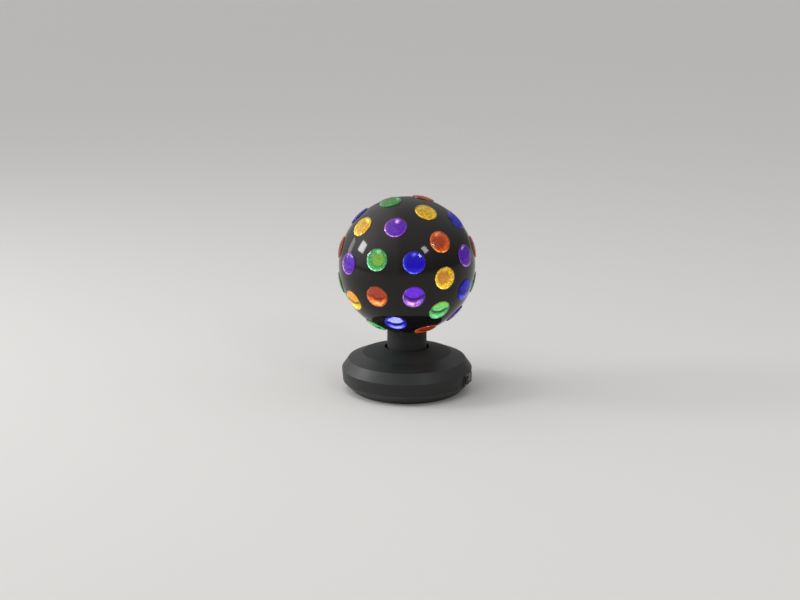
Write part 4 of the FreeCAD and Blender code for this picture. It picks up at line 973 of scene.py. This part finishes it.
@dataclass
class Ball:
    """The turning ball: two half shells, the lenses and their lit cups.

    Attributes:
        centre: height of its middle.
        turn_deg: turn of its pole from the front.
        ring_step: angle between rings of lenses.
        lens: the lens form.
        bright_toward: direction in which the lenses' painted light is brightest at rest.
        toward_span: cosines to that direction between which a lens's painted light turns bright.
        dim: brightness of the painted light of the lenses away from it.
        uneven: how much the lenses differ by chance.
        seed: seed of that chance.
        rings: lens colours ring by ring from the pole, anticlockwise.
    """
    centre: float = 188.04
    turn_deg: float = 32.3
    ring_step: float = 30.0
    lens: LensForm = field(default_factory=LensForm)
    bright_toward: Tuple[float, float, float] = (-0.42, -0.9, -0.1)
    toward_span: Tuple[float, float] = (-0.1, 0.75)
    dim: float = 0.54
    uneven: float = 0.07
    seed: int = 11
    rings: Tuple[Tuple[str, ...], ...] = (
        ("amber",),
        ("violet", "red", "blue", "violet", "green", "blue"),
        ("red", "blue", "amber", "violet", "green", "red", "blue", "red", "violet", "green"),
        ("neck", "amber", "red", "violet", "amber", "red", "green", "amber", "violet", "amber",
         "green"),
        ("green", "violet", "amber", "blue", "red", "green", "red", "blue", "green", "blue"),
        ("amber", "green", "violet", "red", "amber", "violet"),
        ("green",),
    )

    def directions(self) -> List[Tuple[str, Array]]:
        """Lists each lens's colour and direction in the lamp's frame.

        The pole P is level, e1 is level across it and e2 is up: a lens stands along
        cos(t) P + sin(t) (cos(a) e1 + sin(a) e2) for its ring's t and its own a.

        Returns:
            Pairs of colour name and unit direction.
        """
        turn = math.radians(self.turn_deg)
        pole = np.array([math.sin(turn), -math.cos(turn), 0])
        across, up = np.array([math.cos(turn), math.sin(turn), 0]), np.array([0, 0, 1.0])
        found = []
        for ring, colours in enumerate(self.rings):
            away = math.radians(self.ring_step * ring)
            step = 360 / len(colours)
            first = 270 if "neck" in colours else step / 2
            for index, colour in enumerate(colours):
                swing = math.radians(first + step * index)
                found.append((colour, math.cos(away) * pole + math.sin(away) * (
                    math.cos(swing) * across + math.sin(swing) * up)))
        return [(colour, direction) for colour, direction in found if colour != "neck"]

    def stand(self, points: Array, direction: Array) -> Array:
        """Stands points given on +Z along a direction, with local +X pointing down the ball.

        Args:
            points: N by 3 array.
            direction: unit vector.

        Returns:
            The points at their place on the lamp.
        """
        down = np.array([0, 0, -1.0]) + direction[2] * direction
        down /= np.linalg.norm(down)
        side = np.cross(direction, down)
        return points @ np.stack([down, side, direction]) + np.array([0, 0, self.centre])

    def build_shells(self, frame: LampFrame, shelf: FinishShelf) -> None:
        """Shades copies of both half shells as a true sphere."""
        for side in ("front", "rear"):
            shell = frame.joined_copy(f"ball_shell_{side}", shelf)
            shade_as_sphere(shell, np.array([0, 0, self.centre * MM]), self.lens.ball_radius * MM)

    def build_set(self, name: str, tint: Tint, form: Tuple[Array, Array],
                  along: Array) -> bpy.types.Object:
        """Builds one form at every place of a colour, as one piece that turns with the ball.

        Args:
            name: what the form is.
            tint: the kind of lens.
            form: points and triangles of one.
            along: K by 3 array of directions.

        Returns:
            The piece.
        """
        points, faces = form
        offsets = np.arange(len(along)) * len(points)
        everywhere = np.concatenate([self.stand(points, direction) for direction in along])
        piece = mesh_object(f"{name}_{tint.name}_set", everywhere,
                            (faces[None] + offsets[:, None, None]).reshape(-1, 3))
        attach(piece, "ball")
        return piece

    def build_lenses(self) -> None:
        """Builds each colour's lenses, which replace the plain ones, and the cups behind them."""
        outside = lathe(self.lens.outside(), self.lens.columns)
        cup, cup_faces = lathe(self.lens.cup(), self.lens.columns)
        spots = self.directions()
        chance = np.random.default_rng(self.seed).uniform(-1, 1, len(spots))
        for tint in Tint:
            own = np.array([colour == tint.name for colour, _ in spots])
            along = np.array([direction for _, direction in spots])[own]
            lenses = self.build_set("lens", tint, outside, along)
            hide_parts(f"lens_{tint.name}")
            assign(lenses, LensAcrylic(tint).build())
            cups = self.build_set("lit_cup", tint, (cup, cup_faces[:, ::-1]), along)
            assign(cups, LitCup(tint).build())
            lit = []
            for direction, own_chance in zip(along, chance[own]):
                # Each lens's painted light is dimmer the further it faces from bright_toward, and
                # differs a little by chance.
                lights = self.lens.light(cup, direction[2])
                cosine = direction @ np.array(self.bright_toward)
                toward = float(smooth(cosine, *self.toward_span))
                lights["glow"] *= self.dim + (1 - self.dim) * toward
                lights["glow"] *= 1 + self.uneven * own_chance
                lit.append(lights)
            for attribute in lit[0]:
                cups.data.attributes.new(attribute, "FLOAT", "POINT").data.foreach_set(
                    "value", np.concatenate([lights[attribute] for lights in lit]))
            LOG.info("%s lenses: %d", tint.name, len(along))


# ---------------------------------------------------------------- base and works

@dataclass
class Base:
    """The base and neck: parts turned about the axis, and small parts with flat sides.

    Attributes:
        turned: nodes whose surfaces are turned about the lamp's axis, with their finishes.
        small: other outer nodes.
    """
    turned: Tuple[Tuple[str, str], ...] = (
        ("base_housing", "base_black"), ("base_tray", "tray_black"), ("neck_hub", "base_black"))
    small: Tuple[str, ...] = (
        "rubber_feet", "base_screws", "shell_screws", "power_inlet", "inlet_pin")

    def build(self, frame: LampFrame, shelf: FinishShelf) -> None:
        """Shades copies of the outer parts, each in its own way."""
        for node, finish in self.turned:
            shade_as_turned(frame.joined_copy(node, shelf, finish))
        for node in self.small:
            shade_by_angle(frame.joined_copy(node, shelf))


@dataclass
class Switch:
    """The rocker switch.

    Attributes:
        nodes: its body with the bezel, and the rocker.
    """
    nodes: Tuple[str, ...] = ("switch_body", "rocker")

    def build(self, frame: LampFrame, shelf: FinishShelf) -> None:
        """Shades copies of the switch's outer parts."""
        for node in self.nodes:
            shade_by_angle(frame.joined_copy(node, shelf))


class Works:
    """Everything inside: the CAD nodes that stay as they are, in their own finishes."""

    def dress(self, frame: LampFrame, shelf: FinishShelf) -> None:
        """Gives each node that is still shown the finish of its slot."""
        shown = [node for node, made in frame.nodes.items() if not made.hide_render]
        for node in shown:
            assign(frame.nodes[node], shelf.take(frame.slots[node]))
        LOG.info("inner parts dressed: %d", len(shown))


# ---------------------------------------------------------------- studio

@dataclass(frozen=True)
class Pane:
    """A soft area light that faces the ball.

    Attributes:
        name: the light's name.
        toward: direction from the ball's middle to the light.
        distance: how far off it stands, in metres.
        size: width and height in metres.
        power: watts.
        roll_deg: turn about its own axis.
        mirrored: whether glossy surfaces show it.
    """
    name: str
    toward: Tuple[float, float, float]
    distance: float
    size: Tuple[float, float]
    power: float
    roll_deg: float = 0.0
    mirrored: bool = True

    def build(self, aim: Vector) -> None:
        """Adds the light, turned to the point given in metres."""
        data = bpy.data.lights.new(self.name, "AREA")
        data.shape = "RECTANGLE"
        data.size, data.size_y = self.size
        data.energy = self.power
        made = place_in_scene(self.name, data)
        toward = Vector(self.toward).normalized()
        made.rotation_euler = toward.to_track_quat("Z", "Y").to_euler()
        made.rotation_euler.rotate_axis("Z", math.radians(self.roll_deg))
        made.location = aim + toward * self.distance
        made.visible_glossy = self.mirrored


@dataclass(frozen=True)
class Glow:
    """A broad, soft-edged brightening of the studio's walls.

    Attributes:
        toward: its middle.
        start: cosine of the angle at which it fades out.
        full: cosine of the angle within which it is at its brightest.
        gain: brightness that it adds there.
    """
    toward: Tuple[float, float, float]
    start: float
    full: float
    gain: float


@dataclass
class Studio:
    """Floor, lights, walls and camera.

    Attributes:
        camera_mm: the camera's place.
        pitch_deg: how far it looks down.
        focal_mm: focal length.
        sensor_mm: width of the sensor.
        aim: the point that the lights face, in metres.
        floor: sRGB hex of the floor.
        floor_rough: its roughness.
        floor_half_mm: half its width.
        ambient: even light from the walls.
        backdrop: brightness of the walls where they are seen, mirrored or seen through glass.
        panes: the area lights.
        glows: soft brightenings of the walls.
    """
    camera_mm: Tuple[float, float, float] = (-10.24, -2139.6, 679.2)
    pitch_deg: float = 14.28
    focal_mm: float = 67.5
    sensor_mm: float = 36.0
    aim: Tuple[float, float, float] = (0.0, 0.0, 0.188)
    floor: str = "c8c6c4"
    floor_rough: float = 0.8
    floor_half_mm: float = 14000.0
    ambient: float = 0.15
    backdrop: float = 0.22
    panes: Tuple[Pane, ...] = (
        Pane("window_left", (-0.927, 0.007, 0.376), 2.2, (0.5, 0.5), 15),
        Pane("window_far", (-0.86, 0.45, 0.2), 2.4, (0.4, 0.6), 2.2),
        Pane("window_right", (0.46, -0.67, 0.56), 2.4, (0.32, 0.42), 5.8, 25.0),
        Pane("soft_top", (-0.25, -0.2, 1.0), 1.7, (1.2, 1.2), 7, mirrored=False),
        Pane("soft_right", (0.9, -0.1, 0.75), 2.2, (1.2, 1.2), 3.4, mirrored=False),
    )
    glows: Tuple[Glow, ...] = (
        Glow((-0.88, 0.0, 0.47), 0.5, 1.0, 0.6),
        Glow((-0.9, 0.05, 0.45), 0.88, 1.0, 0.5),
        Glow((-1.0, 0.0, 0.0), 0.12, 0.34, 0.3),
        Glow((0.0, 0.0, 1.0), 0.0, 1.0, 0.55),
    )

    def build(self) -> None:
        """Builds the camera, the lights, the floor and the walls."""
        scene = bpy.context.scene
        scene.view_settings.view_transform = "Standard"
        data = bpy.data.cameras.new("camera")
        data.lens, data.sensor_width = self.focal_mm, self.sensor_mm
        camera = place_in_scene("camera", data)
        camera.location = Vector(self.camera_mm) * MM
        camera.rotation_euler = (math.radians(90 - self.pitch_deg), 0, 0)
        scene.camera = camera
        for pane in self.panes:
            pane.build(Vector(self.aim))
        self.build_floor()
        self.build_walls(scene)
        LOG.info("studio built")

    def build_floor(self) -> None:
        """Lays a plain pale floor."""
        half = self.floor_half_mm
        corners = np.array([(-half, -half, 0), (half, -half, 0), (half, half, 0), (-half, half, 0)])
        floor = mesh_object("floor", corners, np.array([(0, 1, 2), (0, 2, 3)]))
        material, tree, shader = new_material("floor_paint")
        fill_inputs(tree, shader, {
            "Base Color": linear(self.floor), "Roughness": self.floor_rough})
        assign(floor, material)

    def build_walls(self, scene: bpy.types.Scene) -> None:
        """Lights the world as pale walls with soft glows, and plainly where the camera sees it."""
        world = bpy.data.worlds.new("studio_walls")
        world.use_nodes = True
        scene.world = world
        tree = world.node_tree
        path = add_node(tree, "LightPath").outputs
        mirrored = add_node(tree, "Math", {"operation": "ADD", "use_clamp": True}, {
            0: path["Is Glossy Ray"], 1: path["Is Transmission Ray"]}).outputs[0]
        seen = add_node(tree, "Math", {"operation": "ADD", "use_clamp": True}, {
            0: path["Is Camera Ray"], 1: mirrored}).outputs[0]
        total = add_node(tree, "MapRange", links={
            "Value": seen, "To Min": self.ambient, "To Max": self.backdrop}).outputs["Result"]
        unseen = add_node(tree, "Math", {"operation": "SUBTRACT"}, {
            0: 1.0, 1: path["Is Camera Ray"]}).outputs[0]
        way = add_node(tree, "TexCoord").outputs["Generated"]
        for glow in self.glows:
            along = add_node(tree, "VectorMath", {"operation": "DOT_PRODUCT"}, {
                0: way, 1: Vector(glow.toward).normalized()}).outputs["Value"]
            added = add_node(tree, "MapRange", {"interpolation_type": "SMOOTHSTEP"}, {
                "Value": along, "From Min": glow.start, "From Max": glow.full, "To Min": 0.0,
                "To Max": glow.gain}).outputs["Result"]
            total = add_node(tree, "Math", {"operation": "MULTIPLY_ADD"}, {
                0: added, 1: unseen, 2: total}).outputs[0]
        fill_inputs(tree, tree.nodes["Background"], {
            "Color": linear("ffffff"), "Strength": total})


# ---------------------------------------------------------------- whole

def main() -> None:
    """Builds the studio and every sub-assembly."""
    logging.basicConfig(level=logging.INFO, format="%(message)s")
    frame = LampFrame.read()
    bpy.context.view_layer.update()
    shelf = FinishShelf()
    Studio().build()
    ball = Ball()
    ball.build_shells(frame, shelf)
    ball.build_lenses()
    Base().build(frame, shelf)
    Switch().build(frame, shelf)
    Works().dress(frame, shelf)


if __name__ == "__main__":
    main()
